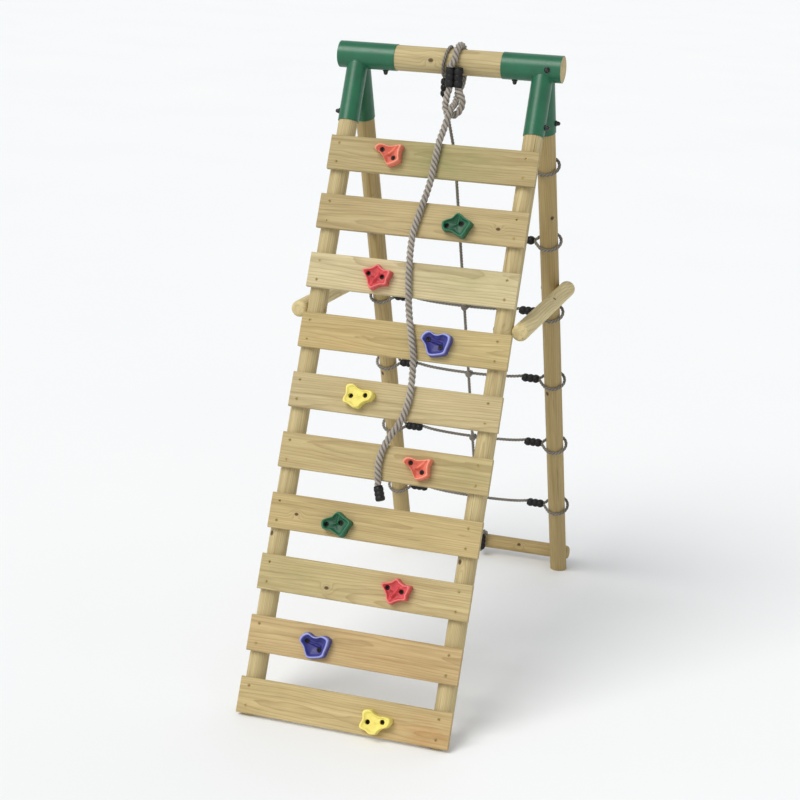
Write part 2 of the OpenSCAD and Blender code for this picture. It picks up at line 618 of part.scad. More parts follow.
// The noose, from the beam's axis: from behind the eye, under and round the beam,
// down through the clamp, round the eye and back up into the clamp's second bore
noose_r = beam_r + rope_d / 2 + slip + 0.6;
clamp_place = [34, -beam_r - rope_d / 2 - clamp_wall - 2.2, -44];
bore_a = clamp_place - [double_clamp_pitch / 2, 0, 0];
bore_b = clamp_place + [double_clamp_pitch / 2, 0, 0];
half_clamp = double_clamp_len / 2;
upwards = [0, 0, 1];
NOOSE_START = [43, -53, -114];
UNDER_BEAM = [[43, -32, -89], [42, 4, -74]];
splice = unit([0, 0.69, 0.73]);               // direction where the two lengths of rope meet
EYE = [[15, -66, -97], [14, -76, -117], [15, -86, -138], [25, -95, -157], [42, -98, -165],
       [59, -95, -157], [69, -86, -138], [69, -76, -117], [60, -68, -98]];
function noose_route() = concat(
    [for (k = [0, 6, 12]) NOOSE_START + k * splice], UNDER_BEAM,
    [for (a = [-45:24:180]) [39 - 10 * (a + 45) / 225, noose_r * cos(a), noose_r * sin(a)]],
    [for (z = [half_clamp + 7, half_clamp + 1, 0, -half_clamp - 1, -half_clamp - 7]) bore_a + z * upwards],
    EYE,
    [for (z = [-half_clamp - 7, -half_clamp - 1, 0, half_clamp + 1]) bore_b + z * upwards]);

module climbing_rope_noose() {
    color("#a69c90") rope(smooth([for (p = noose_route()) from_beam(p)], 2), rope_d, 12);
}

module noose_clamp() {
    r = rope_d / 2 + clamp_wall;
    color("#1c1c1e") beam_frame() difference() {
        for (b = [bore_a, bore_b]) translate(b) ribbed(r, clamp_wall * 0.6, double_clamp_len);
        for (b = [bore_a, bore_b])
            translate(b) cylinder(r = rope_d / 2 + slip / 2, h = double_clamp_len + 2, center = true);
    }
}

// The free rope: through the eye, over the first board's edge and down the wall.
// The points on the wall are [x, distance down the slope].
THROUGH_EYE = concat([for (k = [0.4, 6, 12]) NOOSE_START - k * splice],
                     [[43, -76, -131], [42, -92, -135], [42, -108, -140], [41, -123, -151],
                      [38, -138, -174], [33, -153, -204]]);
OVER_EDGE = [26, -174, -241];
WALL_ROUTE = [[23, 326], [20, 377], [17, 427], [9, 477], [0, 521], [-8, 564], [-13, 606],
              [-13, 648], [-10, 689], [-4, 750], [6, 810], [14, 850], [24, 892], [35, 932],
              [46, 971], [55, 1011], [60, 1053], [63, 1096], [62, 1140], [56, 1182], [44, 1222],
              [28, 1253], [12, 1285], [0, 1321], [-4, 1361], [0, 1400], [8, 1436], [18, 1464]];
rope_lift = board_face + rope_d / 2 + slip + 0.2;
function on_wall(p) = from_front([p[0], -rope_lift, -p[1]]);
function free_route() = concat(
    [for (p = THROUGH_EYE) from_beam(p)], [from_beam(OVER_EDGE)], [for (p = WALL_ROUTE) on_wall(p)]);

module climbing_rope() { color("#a69c90") rope(smooth(free_route(), 2), rope_d, 12); }

module rope_end_clamp() {
    end = on_wall(WALL_ROUTE[len(WALL_ROUTE) - 1]);
    before = on_wall(WALL_ROUTE[len(WALL_ROUTE) - 2]);
    run = unit(end - before);
    bore = end_clamp_len - 14;
    color("#1c1c1e") translate(end) multmatrix(facing(run))
        difference() {
            translate([0, 0, end_clamp_len / 2 - bore]) ribbed(rope_d / 2 + clamp_wall, clamp_wall * 0.6, end_clamp_len);
            translate([0, 0, -bore - 1]) cylinder(r = rope_d / 2 + slip, h = bore + 1 + slip);
        }
}
// Turns +z to a direction
function facing(v) = let (x = unit(cross([1, 0, 0.1], v)), y = cross(v, x))
    [[x[0], y[0], v[0], 0], [x[1], y[1], v[1], 0], [x[2], y[2], v[2], 0], [0, 0, 0, 1]];

// ---- the nodes --------------------------------------------------------------------

beam();
for (side = SIDES) {
    bracket(side);
    front_leg(side);
    rear_leg(side);
    side_rail(side);
    net_clamps(side);
}
for (i = [1:BOARDS]) {
    board(i);
    hold(i);
}
for (i = [1:NET_ROPES])
    net_rope(i);
rear_rail();
net_rope_upright();
net_clamp_top();
net_clamp_bottom();
net_knots();
climbing_rope();
climbing_rope_noose();
noose_clamp();
rope_end_clamp();
bracket_screws();
board_screws();
hold_bolts();
rail_bolts();
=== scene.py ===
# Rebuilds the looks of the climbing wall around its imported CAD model.
import math
import bpy
import bmesh
import numpy as np
from mathutils import Vector, Matrix


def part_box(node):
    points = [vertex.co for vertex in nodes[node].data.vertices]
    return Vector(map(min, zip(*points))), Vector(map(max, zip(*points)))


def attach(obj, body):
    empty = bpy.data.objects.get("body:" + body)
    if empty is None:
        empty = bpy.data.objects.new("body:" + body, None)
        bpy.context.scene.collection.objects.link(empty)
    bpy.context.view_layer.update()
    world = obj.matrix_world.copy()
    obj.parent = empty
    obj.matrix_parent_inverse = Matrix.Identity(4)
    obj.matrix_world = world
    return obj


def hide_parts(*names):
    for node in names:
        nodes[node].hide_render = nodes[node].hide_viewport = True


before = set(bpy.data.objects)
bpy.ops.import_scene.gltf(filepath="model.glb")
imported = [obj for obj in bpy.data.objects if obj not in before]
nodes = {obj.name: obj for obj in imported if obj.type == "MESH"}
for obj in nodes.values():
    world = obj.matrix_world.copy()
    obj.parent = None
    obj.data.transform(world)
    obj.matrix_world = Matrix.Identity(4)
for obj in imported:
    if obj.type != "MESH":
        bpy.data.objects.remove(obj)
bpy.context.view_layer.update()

ROOT, SWING = "frame", "hanging_rope"

# ---- sizes, as in part.scad, in metres unless a name ends in MM ----------------------
mm = 0.001
BEAM_Z = 2.030
FRONT_FOOT, REAR_FOOT = 0.866, 0.776
FRONT_LEAN, REAR_LEAN = math.atan(FRONT_FOOT / BEAM_Z), math.atan(REAR_FOOT / BEAM_Z)
LEG_X, LEG_R, BEAM_R = 0.3195, 0.032, 0.0425
LEG_X_MM, LEG_MM, BEAM_MM, RAIL_MM, FACE_MM = 319.5, 32, 42.5, 27, 52
beam_low, beam_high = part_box("beam")
BEAM_Y = (beam_low.y + beam_high.y) / 2
FIRST_BOARD, BOARD_PITCH, BOARD_H, BOARD_FACE = 0.293, 0.2006, 0.1165, 0.052
BOARD_TOP = [FIRST_BOARD + BOARD_PITCH * i for i in range(10)]
BOARD_SHIFT_MM = [0, -3, -3, 2, 4, 3, 2, 1, 0, 0]
HOLD_X = [-0.14, 0.131, -0.111, 0.122, -0.104, 0.124, -0.109, 0.12, -0.118, 0.124]
HOLD_DROP = [0.0, 0.01, 0.007, 0.002, 0.001, 0.006, 0.016, -0.001, 0.01, 0.012]


def on_beam(p):
    """A place given from the middle of the beam's axis."""
    return np.array([p[0], BEAM_Y + p[1], BEAM_Z + p[2]])


def on_front(x, out, s):
    """A place on the front slope: sideways, out from the legs' axis, and down along it from the beam."""
    return np.array([x, BEAM_Y - out * math.cos(FRONT_LEAN) - s * math.sin(FRONT_LEAN),
                     BEAM_Z + out * math.sin(FRONT_LEAN) - s * math.cos(FRONT_LEAN)])


def on_rear(x, out, s):
    """The same on the rear slope."""
    return np.array([x, BEAM_Y + out * math.cos(REAR_LEAN) + s * math.sin(REAR_LEAN),
                     BEAM_Z + out * math.sin(REAR_LEAN) - s * math.cos(REAR_LEAN)])


def heading(slope, out, s):
    """The direction of a step out from a slope and down along it."""
    return slope(0, out, s) - slope(0, 0, 0)


X, Y, Z = Vector((1, 0, 0)), Vector((0, 1, 0)), Vector((0, 0, 1))
DOWN_FRONT, OUT_FRONT = heading(on_front, 0, 1), heading(on_front, 1, 0)
DOWN_REAR, OUT_REAR = heading(on_rear, 0, 1), heading(on_rear, 1, 0)

# ---- camera, fitted to the photograph ------------------------------------------------
CAMERA_TURN = (17.302, 16.294, 2.380)  # degrees: yaw, pitch down, roll
CAMERA_AT = (1.6979, -5.8536, 2.6359)  # from the ground under the beam
LENS, SENSOR = 81.70, 36


def make_camera():
    yaw, pitch, roll = (math.radians(a) for a in CAMERA_TURN)
    ahead = Vector((-math.sin(yaw) * math.cos(pitch), math.cos(yaw) * math.cos(pitch), -math.sin(pitch)))
    level = Vector((math.cos(yaw), math.sin(yaw), 0))
    above = level.cross(ahead)
    right = level * math.cos(roll) + above * math.sin(roll)
    up = -level * math.sin(roll) + above * math.cos(roll)
    cam = bpy.data.objects.new("camera", bpy.data.cameras.new("camera"))
    bpy.context.collection.objects.link(cam)
    place = Matrix((right, up, -ahead)).transposed().to_4x4()
    place.translation = Vector((CAMERA_AT[0], CAMERA_AT[1] + BEAM_Y, CAMERA_AT[2]))
    cam.matrix_world = place
    cam.data.sensor_width = SENSOR
    cam.data.lens = LENS
    cam.data.clip_start, cam.data.clip_end = 0.1, 100
    bpy.context.scene.camera = cam


make_camera()


# ---- mesh helpers --------------------------------------------------------------------
def add_attributes(me, values):
    """Numbers that a material reads at each vertex."""
    for key, numbers in values.items():
        layer = me.attributes.new(key, "FLOAT", "POINT")
        layer.data.foreach_set("value", np.asarray(numbers, dtype=np.float32))


def link_mesh(name, me):
    ob = bpy.data.objects.new(name, me)
    bpy.context.collection.objects.link(ob)
    return ob


def new_mesh(name, verts, faces, smooth=True, attrs=None):
    me = bpy.data.meshes.new(name)
    me.from_pydata([tuple(map(float, v)) for v in verts], [], [tuple(map(int, f)) for f in faces])
    me.update()
    if smooth:
        me.polygons.foreach_set("use_smooth", [True] * len(me.polygons))
    add_attributes(me, attrs or {})
    return link_mesh(name, me)


def finish_piece(ob, material, body, replaces=()):
    ob.data.materials.clear()
    ob.data.materials.append(material)
    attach(ob, body)
    if replaces:
        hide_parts(*replaces)


def join(objects, name):
    """One object from several, for a set of the same small piece."""
    bm = bmesh.new()
    for o in objects:
        o.data.transform(o.matrix_world)
        bm.from_mesh(o.data)
    me = bpy.data.meshes.new(name)
    bm.to_mesh(me)
    bm.free()
    for o in objects:
        bpy.data.objects.remove(o)
    return link_mesh(name, me)


def vertex_places(me):
    co = np.empty(len(me.vertices) * 3)
    me.vertices.foreach_get("co", co)
    return co.reshape(-1, 3)


def join_ropes(objects, name):
    """Joins laid ropes and keeps their point attributes."""
    verts, faces, values = [], [], {"groove": [], "yarn": []}
    base = 0
    for o in objects:
        me = o.data
        verts.append(vertex_places(me))
        faces += [[v + base for v in f.vertices] for f in me.polygons]
        for key, found in values.items():
            numbers = np.empty(len(me.vertices), dtype=np.float32)
            me.attributes[key].data.foreach_get("value", numbers)
            found.append(numbers)
        base += len(me.vertices)
        bpy.data.objects.remove(o)
    values = {key: np.concatenate(found) for key, found in values.items()}
    return new_mesh(name, np.concatenate(verts), faces, attrs=values)


def unit(v):
    return v / np.linalg.norm(v)


def between(a, b, c, d, t):
    """Point of a smooth curve, t of the way from b to c."""
    return 0.5 * (2 * b + (c - a) * t + (2 * a - 5 * b + 4 * c - d) * t * t
                  + (3 * b - a - 3 * c + d) * t ** 3)


def smooth_path(points, steps):
    """Curve through the points, with so many steps from each to the next."""
    p = [np.asarray(q, float) for q in points]
    last = len(p) - 1
    out = [between(p[max(i - 1, 0)], p[i], p[i + 1], p[min(i + 2, last)], k / steps)
           for i in range(last) for k in range(steps)]
    return np.array(out + [p[-1]])


def closed_curve(points, steps):
    """The same, round a closed outline."""
    p = [np.asarray(q, float) for q in points]
    m = len(p)
    return np.array([between(p[i - 1], p[i], p[(i + 1) % m], p[(i + 2) % m], k / steps)
                     for i in range(m) for k in range(steps)])


def resample(path, step):
    """Even steps along a path, and how far along each one is."""
    path = np.asarray(path, float)
    gap = np.linalg.norm(np.diff(path, axis=0), axis=1)
    path = path[np.concatenate([[True], gap > 1e-7])]
    along = np.concatenate([[0], np.cumsum(np.linalg.norm(np.diff(path, axis=0), axis=1))])
    s = np.linspace(0, along[-1], max(2, int(round(along[-1] / step)) + 1))
    return np.stack([np.interp(s, along, path[:, k]) for k in range(3)], 1), s


def frames(path):
    """Two directions across a path, square to each other, that follow it without twisting."""
    t = np.gradient(path, axis=0)
    t /= np.linalg.norm(t, axis=1)[:, None]
    a = np.empty_like(t)
    a[0] = unit(np.cross(t[0], [0.31, 0.52, 0.79]))
    for i in range(1, len(t)):
        a[i] = unit(a[i - 1] - t[i] * np.dot(a[i - 1], t[i]))
    return a, np.cross(t, a)


def circle(sides):
    return 2 * math.pi * np.arange(sides) / sides


def swept(path, around, radius):
    """Rings of vertices round a path."""
    a, b = frames(path)
    ring = np.cos(around)[None, :, None] * a[:, None, :] + np.sin(around)[None, :, None] * b[:, None, :]
    return (path[:, None, :] + radius[..., None] * ring).reshape(-1, 3)


def tube_faces(rings, sides):
    """Quads between rings, with a face over each end."""
    i = np.arange(rings - 1)[:, None] * sides
    k = np.arange(sides)[None, :]
    k2 = (np.arange(sides) + 1)[None, :] % sides
    faces = np.stack([i + k, i + k2, i + sides + k2, i + sides + k], -1).reshape(-1, 4).tolist()
    faces.append(list(range(sides))[::-1])
    faces.append([(rings - 1) * sides + q for q in range(sides)])
    return faces


STRANDS, YARNS = 3, 9
STRAND_R, STRAND_AT = 0.53, 0.47  # a strand's radius and its centre's, as shares of the rope's


def laid_rope(name, path, diameter, lay, step, sides, yarn=0.0, phase=0.0):
    """Three-strand rope twisted along a path: the strands are real geometry. A negative lay twists the
    other way, and yarn is how deep the grooves between yarns are."""
    p, s = resample(path, step)
    radius = diameter / 2
    strand, centre = STRAND_R * radius, STRAND_AT * radius
    around = circle(sides)
    turned = around[None, :] - (2 * math.pi * s / lay + phase)[:, None]
    surface, on_strand = np.zeros_like(turned), np.zeros_like(turned)
    for k in range(STRANDS):
        q = (turned - 2 * math.pi * k / STRANDS + math.pi) % (2 * math.pi) - math.pi
        inside = strand ** 2 - (centre * np.sin(q)) ** 2
        r = np.where(inside > 0, centre * np.cos(q) + np.sqrt(np.maximum(inside, 0)), 0)
        here = r > surface
        surface = np.where(here, r, surface)
        on_strand = np.where(here, np.arctan2(r * np.sin(q), r * np.cos(q) - centre), on_strand)
    # yarns lie along the rope's axis on the crowns, wound the other way in each strand
    yarns = on_strand * YARNS / (2 * math.pi) + s[:, None] / lay * YARNS
    surface = surface + yarn * (np.cos(2 * math.pi * yarns) - 1) * 0.5
    # mask for the painted shade deep between the strands
    groove = 1 - np.clip((surface / radius - 0.55) / 0.4, 0, 1)
    return new_mesh(name, swept(p, around, surface), tube_faces(len(s), sides),
                    attrs={"groove": groove.ravel(), "yarn": yarns.ravel()})


def moved(verts, place):
    return verts @ place[:3, :3].T + place[:3, 3]


def lathe(name, profile, sides, place, squash=(1, 1)):
    """Turned shape from (radius, height) pairs, oval if squash says so."""
    r, z = np.array(profile, float).T[:, :, None]
    around = circle(sides)
    v = np.stack([r * np.cos(around) * squash[0], r * np.sin(around) * squash[1], np.repeat(z, sides, 1)], -1)
    return new_mesh(name, moved(v.reshape(-1, 3), place), tube_faces(len(profile), sides))


def axes_at(origin, z, x):
    """A place with its z along one direction and its x near another."""
    z = unit(np.asarray(z, float))
    x = np.asarray(x, float)
    x = unit(x - z * np.dot(x, z))
    place = np.eye(4)
    place[:3, 0], place[:3, 1], place[:3, 2], place[:3, 3] = x, np.cross(z, x), z, origin
    return place


def soften_edges(node, width, degrees):
    """A small bevel on the sharp edges of a CAD node."""
    bevel = nodes[node].modifiers.new("softened", "BEVEL")
    bevel.width, bevel.segments = width, 2
    bevel.limit_method, bevel.angle_limit = "ANGLE", math.radians(degrees)


def set_material(node, material):
    ob = nodes[node]
    for slot in ob.material_slots:
        slot.material = material
    if not ob.material_slots:
        ob.data.materials.append(material)


# ---- material helpers ----------------------------------------------------------------
def lin(c):
    """Linear colour from one given as 0 to 255."""
    c = np.array(c, float) / 255
    return tuple(np.where(c <= 0.04045, c / 12.92, ((c + 0.055) / 1.055) ** 2.4)) + (1.0,)


def times(colour, k, plus=0.0):
    """A colour made lighter or darker."""
    return tuple(min(1.0, c * k + plus) for c in colour[:3]) + (1,)


class Nodes:
    """A material's node tree, with a short method for each kind of node."""

    def __init__(self, name):
        self.mat = bpy.data.materials.new(name)
        self.mat.use_nodes = True
        self.tree = self.mat.node_tree
        self.tree.nodes.clear()
        out = self.node("ShaderNodeOutputMaterial")
        self.bsdf = self.node("ShaderNodeBsdfPrincipled")
        self.put(out.inputs[0], self.bsdf.outputs[0])

    def node(self, kind, **props):
        n = self.tree.nodes.new(kind)
        for key, value in props.items():
            setattr(n, key, value)
        return n

    def put(self, socket, value):
        if isinstance(value, bpy.types.NodeSocket):
            self.tree.links.new(value, socket)
        elif value is not None:
            socket.default_value = value

    def place(self):
        return self.node("ShaderNodeTexCoord").outputs["Object"]

    def attr(self, name):
        return self.node("ShaderNodeAttribute", attribute_name=name).outputs["Fac"]

    def math(self, op, a, b=None, c=None, clamp=False):
        n = self.node("ShaderNodeMath", operation=op, use_clamp=clamp)
        for socket, value in zip(n.inputs, (a, b, c)):
            self.put(socket, value)
        return n.outputs[0]

    def vec(self, op, a, b=None, scale=None):
        n = self.node("ShaderNodeVectorMath", operation=op)
        self.put(n.inputs[0], a)
        self.put(n.inputs[1], b)
        if scale is not None:
            self.put(n.inputs["Scale"], scale)
        return n.outputs["Value"] if op in ("LENGTH", "DOT_PRODUCT") else n.outputs[0]

    def noise(self, vector, scale, detail, rough, colour=False):
        n = self.node("ShaderNodeTexNoise")
        self.put(n.inputs["Vector"], vector)
        n.inputs["Scale"].default_value = scale
        n.inputs["Detail"].default_value = detail
        n.inputs["Roughness"].default_value = rough
        return n.outputs[1 if colour else 0]

    def mapping(self, vector, loc=(0, 0, 0), rot=(0, 0, 0), scale=(1, 1, 1)):
        n = self.node("ShaderNodeMapping")
        self.put(n.inputs[0], vector)
        n.inputs["Location"].default_value = loc
        n.inputs["Rotation"].default_value = rot
        n.inputs["Scale"].default_value = scale
        return n.outputs[0]

    def ramp(self, fac, *stops):
        """Grey ramp through (place, brightness) stops."""
        n = self.node("ShaderNodeValToRGB")
        marks = n.color_ramp.elements
        while len(marks) < len(stops):
            marks.new(0.5)
        for mark, (place, grey) in zip(marks, stops):
            mark.position = place
            mark.color = (grey, grey, grey, 1)
        self.put(n.inputs[0], fac)
        return n.outputs[0]

    def mix(self, fac, a, b, blend="MIX"):
        n = self.node("ShaderNodeMix", data_type="RGBA", blend_type=blend)
        self.put(n.inputs[0], fac)
        self.put(n.inputs[6], a)
        self.put(n.inputs[7], b)
        return n.outputs[2]

    def bump(self, height, strength, distance):
        n = self.node("ShaderNodeBump")
        n.inputs["Strength"].default_value = strength
        n.inputs["Distance"].default_value = distance
        self.put(n.inputs["Height"], height)
        return n.outputs[0]

    def done(self, color, rough, normal=None, metallic=0.0, specular=0.5, sheen=0.0):
        shader = self.bsdf.inputs
        self.put(shader["Base Color"], color)
        self.put(shader["Roughness"], rough)
        self.put(shader["Normal"], normal)
        shader["Metallic"].default_value = metallic
        shader["Specular IOR Level"].default_value = specular
        shader["Sheen Weight"].default_value = sheen
        return self.mat


RING_TILT = 0.012
KNOT_COLOUR = lin((82, 52, 29))


def wood(name, origin, grain, across, pith, light, dark, knots, ring, seed, stains=()):
    """Softwood cut from a log: rings round a pith line, bent round knots. grain and across are the
    piece's own axes, pith is the line's distance from origin across and deep, knots are
    (along, across, radius) and stains are (along, across, radius, colour, amount)."""
    n = Nodes(name)
    g, a = Vector(grain).normalized(), Vector(across).normalized()
    q = n.vec("SUBTRACT", n.place(), tuple(origin))
    own = n.node("ShaderNodeCombineXYZ")
    for socket, axis in zip(own.inputs, (g, a, g.cross(a))):
        n.put(socket, n.vec("DOT_PRODUCT", q, tuple(axis)))
    p = own.outputs[0]

    def streaks(loc, scale, detail, rough, colour=False):
        return n.noise(n.mapping(p, loc=loc, scale=scale), 1.0, detail, rough, colour)

    # slow wander of the pith line, then small waviness of the rings
    wander = streaks((seed * 3.1, seed, -seed), (1.1, 0.6, 0.6), 2, 0.5, colour=True)
    wave = streaks((seed, seed * 2.3, seed), (5, 16, 16), 3, 0.55, colour=True)
    bent = p
    for drift, reach in ((wander, 0.045), (wave, 0.007)):
        bent = n.vec("ADD", bent, n.vec("SCALE", n.vec("SUBTRACT", drift, (0.5, 0.5, 0.5)), scale=reach))
    centred = n.mapping(bent, loc=(0, -pith[0], -pith[1]), rot=(0, RING_TILT, RING_TILT * 0.8))
    r = n.vec("LENGTH", n.vec("MULTIPLY", centred, (0.0, 1.0, 1.0)))
    knot = None
    for x, y, size in knots:
        away = n.vec("LENGTH", n.vec("MULTIPLY", n.vec("SUBTRACT", p, (x, y, 0)), (0.72, 1.0, 0.06)))
        fall = n.math("MULTIPLY", n.math("POWER", n.math("DIVIDE", away, size * 2.3), 2.0), -1.0)
        r = n.math("ADD", r, n.math("MULTIPLY", n.math("POWER", 2.718, fall), size * 2.1))
        core = n.math("SUBTRACT", 1.0, n.math("DIVIDE", away, size), clamp=True)
        knot = core if knot is None else n.math("MAXIMUM", knot, core)

    # late wood darkens towards the end of each ring
    late = n.ramp(n.math("FRACT", n.math("DIVIDE", r, ring)),
                  (0.0, 0.05), (0.55, 0.16), (0.88, 0.8), (0.96, 1.0), (1.0, 0.1))
    broad = streaks((seed * 5, 1, 2), (2.2, 9, 9), 3, 0.6)
    fibre = streaks((seed, 3, 1), (11, 430, 430), 4, 0.62)
    streak = streaks((seed, 7, 1), (2.5, 70, 70), 3, 0.6)
    strength = n.math("MULTIPLY", n.ramp(broad, (0.3, 0.35), (0.7, 1.0)), 0.78)
    col = n.mix(n.math("MULTIPLY", late, strength), light, dark)
    col = n.mix(n.ramp(streak, (0.38, 0.0), (0.72, 0.5)), col, dark)
    col = n.mix(n.ramp(broad, (0.35, 0.0), (0.75, 0.55)), col, times(light, 1.16))
    col = n.mix(1.0, col, n.ramp(fibre, (0.25, 0.83), (0.75, 1.1)), "MULTIPLY")
    for x, y, radius, stain, amount in stains:
        away = n.vec("LENGTH", n.vec("MULTIPLY", n.vec("SUBTRACT", p, (x, y, 0)), (0.45, 1.0, 0.0)))
        blot = streaks((seed, 9, 4), (14, 40, 40), 3, 0.6)
        cover = n.math("SUBTRACT", 1.0, n.math("DIVIDE", away, radius), clamp=True)
        cover = n.math("MULTIPLY", cover, amount)
        col = n.mix(n.math("MULTIPLY", cover, n.ramp(blot, (0.3, 0.3), (0.65, 1.0))), col, stain)

    # fine weather checks along the grain
    crack = n.ramp(streaks((seed * 7, 2, 6), (3.0, 120, 120), 2, 0.5), (0.715, 0.0), (0.745, 0.75))
    col = n.mix(crack, col, times(dark, 0.35))
    if knot is not None:
        cover = n.ramp(knot, (0.0, 0.0), (0.12, 0.75), (0.6, 0.9), (1.0, 1.0))
        rings = n.ramp(n.math("FRACT", n.math("MULTIPLY", knot, 5.0)), (0.0, 1.0), (0.6, 0.72), (1.0, 0.45))
        col = n.mix(cover, col, n.mix(1.0, KNOT_COLOUR, rings, "MULTIPLY"))
    height = n.math("ADD", n.math("MULTIPLY", fibre, 0.5), n.math("MULTIPLY", late, 0.3))
    height = n.math("SUBTRACT", height, n.math("MULTIPLY", crack, 1.4))
    return n.done(col, n.ramp(fibre, (0.2, 0.58), (0.8, 0.78)), n.bump(height, 0.55, 0.0006), specular=0.3)


def plastic(name, colour, rough, grain, depth, vary, specular=0.5, rim=None, pit_shade=None):
    """Moulded plastic with a fine grain; where the mesh says so, it takes a painted highlight colour on the
    rim and a painted shade colour in the dish.
    """
    n = Nodes(name)
    pos = n.place()
    broad = n.noise(pos, 38.0, 4, 0.6)
    fine = n.noise(pos, grain, 3, 0.6)
    col = n.mix(n.ramp(broad, (0.32, 0.0), (0.68, 1.0)), times(colour, 1 - vary),
                times(colour, 1 + vary, 0.01))
    # painted highlight on the rim and painted shade in the dish, where the mesh's masks say
    for key, tint in (("rim", rim), ("pit_shade", pit_shade)):
        if tint is not None:
            col = n.mix(n.attr(key), col, tint)
    col = n.mix(1.0, col, n.ramp(fine, (0.3, 0.9), (0.7, 1.06)), "MULTIPLY")
    dull = n.ramp(broad, (0.3, rough - 0.06), (0.7, rough + 0.1))
    return n.done(col, dull, n.bump(fine, 0.6, depth), specular=specular)


def steel(name, colour, rough):
    n = Nodes(name)
    pos = n.place()
    broad = n.noise(pos, 120.0, 4, 0.6)
    fine = n.noise(pos, 1500.0, 2, 0.5)
    col = n.mix(n.ramp(broad, (0.35, 0.0), (0.7, 1.0)), colour, times(colour, 0.6))
    dull = n.ramp(broad, (0.3, rough - 0.08), (0.7, rough + 0.14))
    return n.done(col, dull, n.bump(fine, 0.4, 0.00006), metallic=0.9)


def rope_fibre(name, colour, shade, diameter):
    """Spun fibre: painted shade in the grooves between strands and yarns, soiled and flecked."""
    n = Nodes(name)
    pos = n.place()
    line = n.math("COSINE", n.math("MULTIPLY", n.attr("yarn"), 2 * math.pi))
    line = n.math("MULTIPLY_ADD", line, 0.5, 0.5)
    fuzz = n.noise(pos, 1400.0, 3, 0.65)
    soil = n.noise(pos, 9.0, 4, 0.6)
    flecks = n.noise(pos, 420.0, 3, 0.6)
    col = n.mix(n.ramp(soil, (0.3, 0.0), (0.72, 1.0)), colour, shade)
    col = n.mix(n.ramp(flecks, (0.42, 0.0), (0.66, 0.5)), col, times(colour, 1.35))
    # painted shade in the lines between the yarns
    col = n.mix(n.ramp(line, (0.0, 0.42), (0.35, 0.0)), col, times(shade, 0.4))
    # painted shade deep in the grooves between the strands
    col = n.mix(n.math("MULTIPLY", n.attr("groove"), 0.9), col, times(shade, 0.3))
    height = n.math("ADD", n.math("MULTIPLY", line, 0.7), n.math("MULTIPLY", fuzz, 0.5))
    return n.done(col, 0.86, n.bump(height, 0.7, diameter * 0.03), specular=0.2, sheen=0.25)


def paint(name, colour, dusty):
    """Coated steel with a slight orange peel and dust."""
    n = Nodes(name)
    pos = n.place()
    peel = n.noise(pos, 420.0, 2, 0.5)
    broad = n.noise(pos, 14.0, 4, 0.6)
    dust = n.noise(pos, 160.0, 5, 0.7)
    col = n.mix(n.ramp(broad, (0.3, 0.0), (0.7, 1.0)), times(colour, 0.84), times(colour, 1.12))
    col = n.mix(n.ramp(dust, (0.62, 0.0), (0.8, 0.22)), col, dusty)
    return n.done(col, n.ramp(dust, (0.3, 0.3), (0.75, 0.46)), n.bump(peel, 0.35, 0.00025))


# ---- the climbing rope comes first, its points in millimetres ------------------------
ROPE_D, NET_D = 0.024, 0.010
NET_FULL = 0.0116  # over the crowns of the strands, pulled tight
CLIMB_LAY, NET_LAY, LASHING_LAY = -0.052, -0.036, 0.017
ROPE_MM, NET_MM, GAP_MM = 12, 5, 0.3  # two half thicknesses, and the clearance round a rope
BORE_APART_MM, CLAMP_WALL_MM = 14.5, 4
SPLICE = unit(np.array([0, 0.69, 0.73]))
NOOSE_START = np.array([43, -53, -114.0])
UNDER_BEAM = [[43, -32, -89], [42, 4, -74]]
EYE = [[15, -66, -97], [14, -76, -117], [15, -86, -138], [25, -95, -157], [42, -98, -165],
       [59, -95, -157], [69, -86, -138], [69, -76, -117], [60, -68, -98]]
NOOSE_R_MM = BEAM_MM + ROPE_MM + GAP_MM + 0.6
CLAMP_AT = np.array([34, -BEAM_MM - ROPE_MM - CLAMP_WALL_MM - 2.2, -44])
BORES = [CLAMP_AT - [BORE_APART_MM, 0, 0], CLAMP_AT + [BORE_APART_MM, 0, 0]]
THROUGH_EYE = [[43, -76, -131], [42, -92, -135], [42, -108, -140], [41, -123, -151], [38, -138, -174],
               [33, -153, -204]]
OVER_EDGE = [26, -174, -241]
WALL_ROUTE = [[23, 326], [20, 377], [17, 427], [9, 477], [0, 521], [-8, 564], [-13, 606], [-13, 648],
              [-10, 689], [-4, 750], [6, 810], [14, 850], [24, 892], [35, 932], [46, 971],
              [55, 1011], [60, 1053], [63, 1096], [62, 1140], [56, 1182], [44, 1222], [28, 1253],
              [12, 1285], [0, 1321], [-4, 1361], [0, 1400], [8, 1436], [18, 1464]]
LIFT_MM = FACE_MM + ROPE_MM + GAP_MM + 0.2


def noose_route():
    """Up from the splice, over the beam, down one bore, round the eye and up the other bore."""
    p = [NOOSE_START + k * SPLICE for k in (0, 6, 12)] + UNDER_BEAM
    for a in range(-45, 181, 24):
        turn = math.radians(a)
        p.append([39 - 10 * (a + 45) / 225, NOOSE_R_MM * math.cos(turn), NOOSE_R_MM * math.sin(turn)])
    up = np.array([0, 0, 1.0])
    p += [BORES[0] + z * up for z in (37, 31, 0, -31, -37)] + EYE
    p += [BORES[1] + z * up for z in (-37, -31, 0, 31)]
    return [on_beam(np.array(q) * mm) for q in p]


def on_wall(x, s):
    return on_front(x * mm, LIFT_MM * mm, s * mm)


def free_route():
    """Through the eye, over the edge of the top board and down the wall."""
    p = [NOOSE_START - k * SPLICE for k in (0.4, 6, 12)] + THROUGH_EYE + [OVER_EDGE]
    return [on_beam(np.array(q) * mm) for q in p] + [on_wall(x, s) for x, s in WALL_ROUTE]


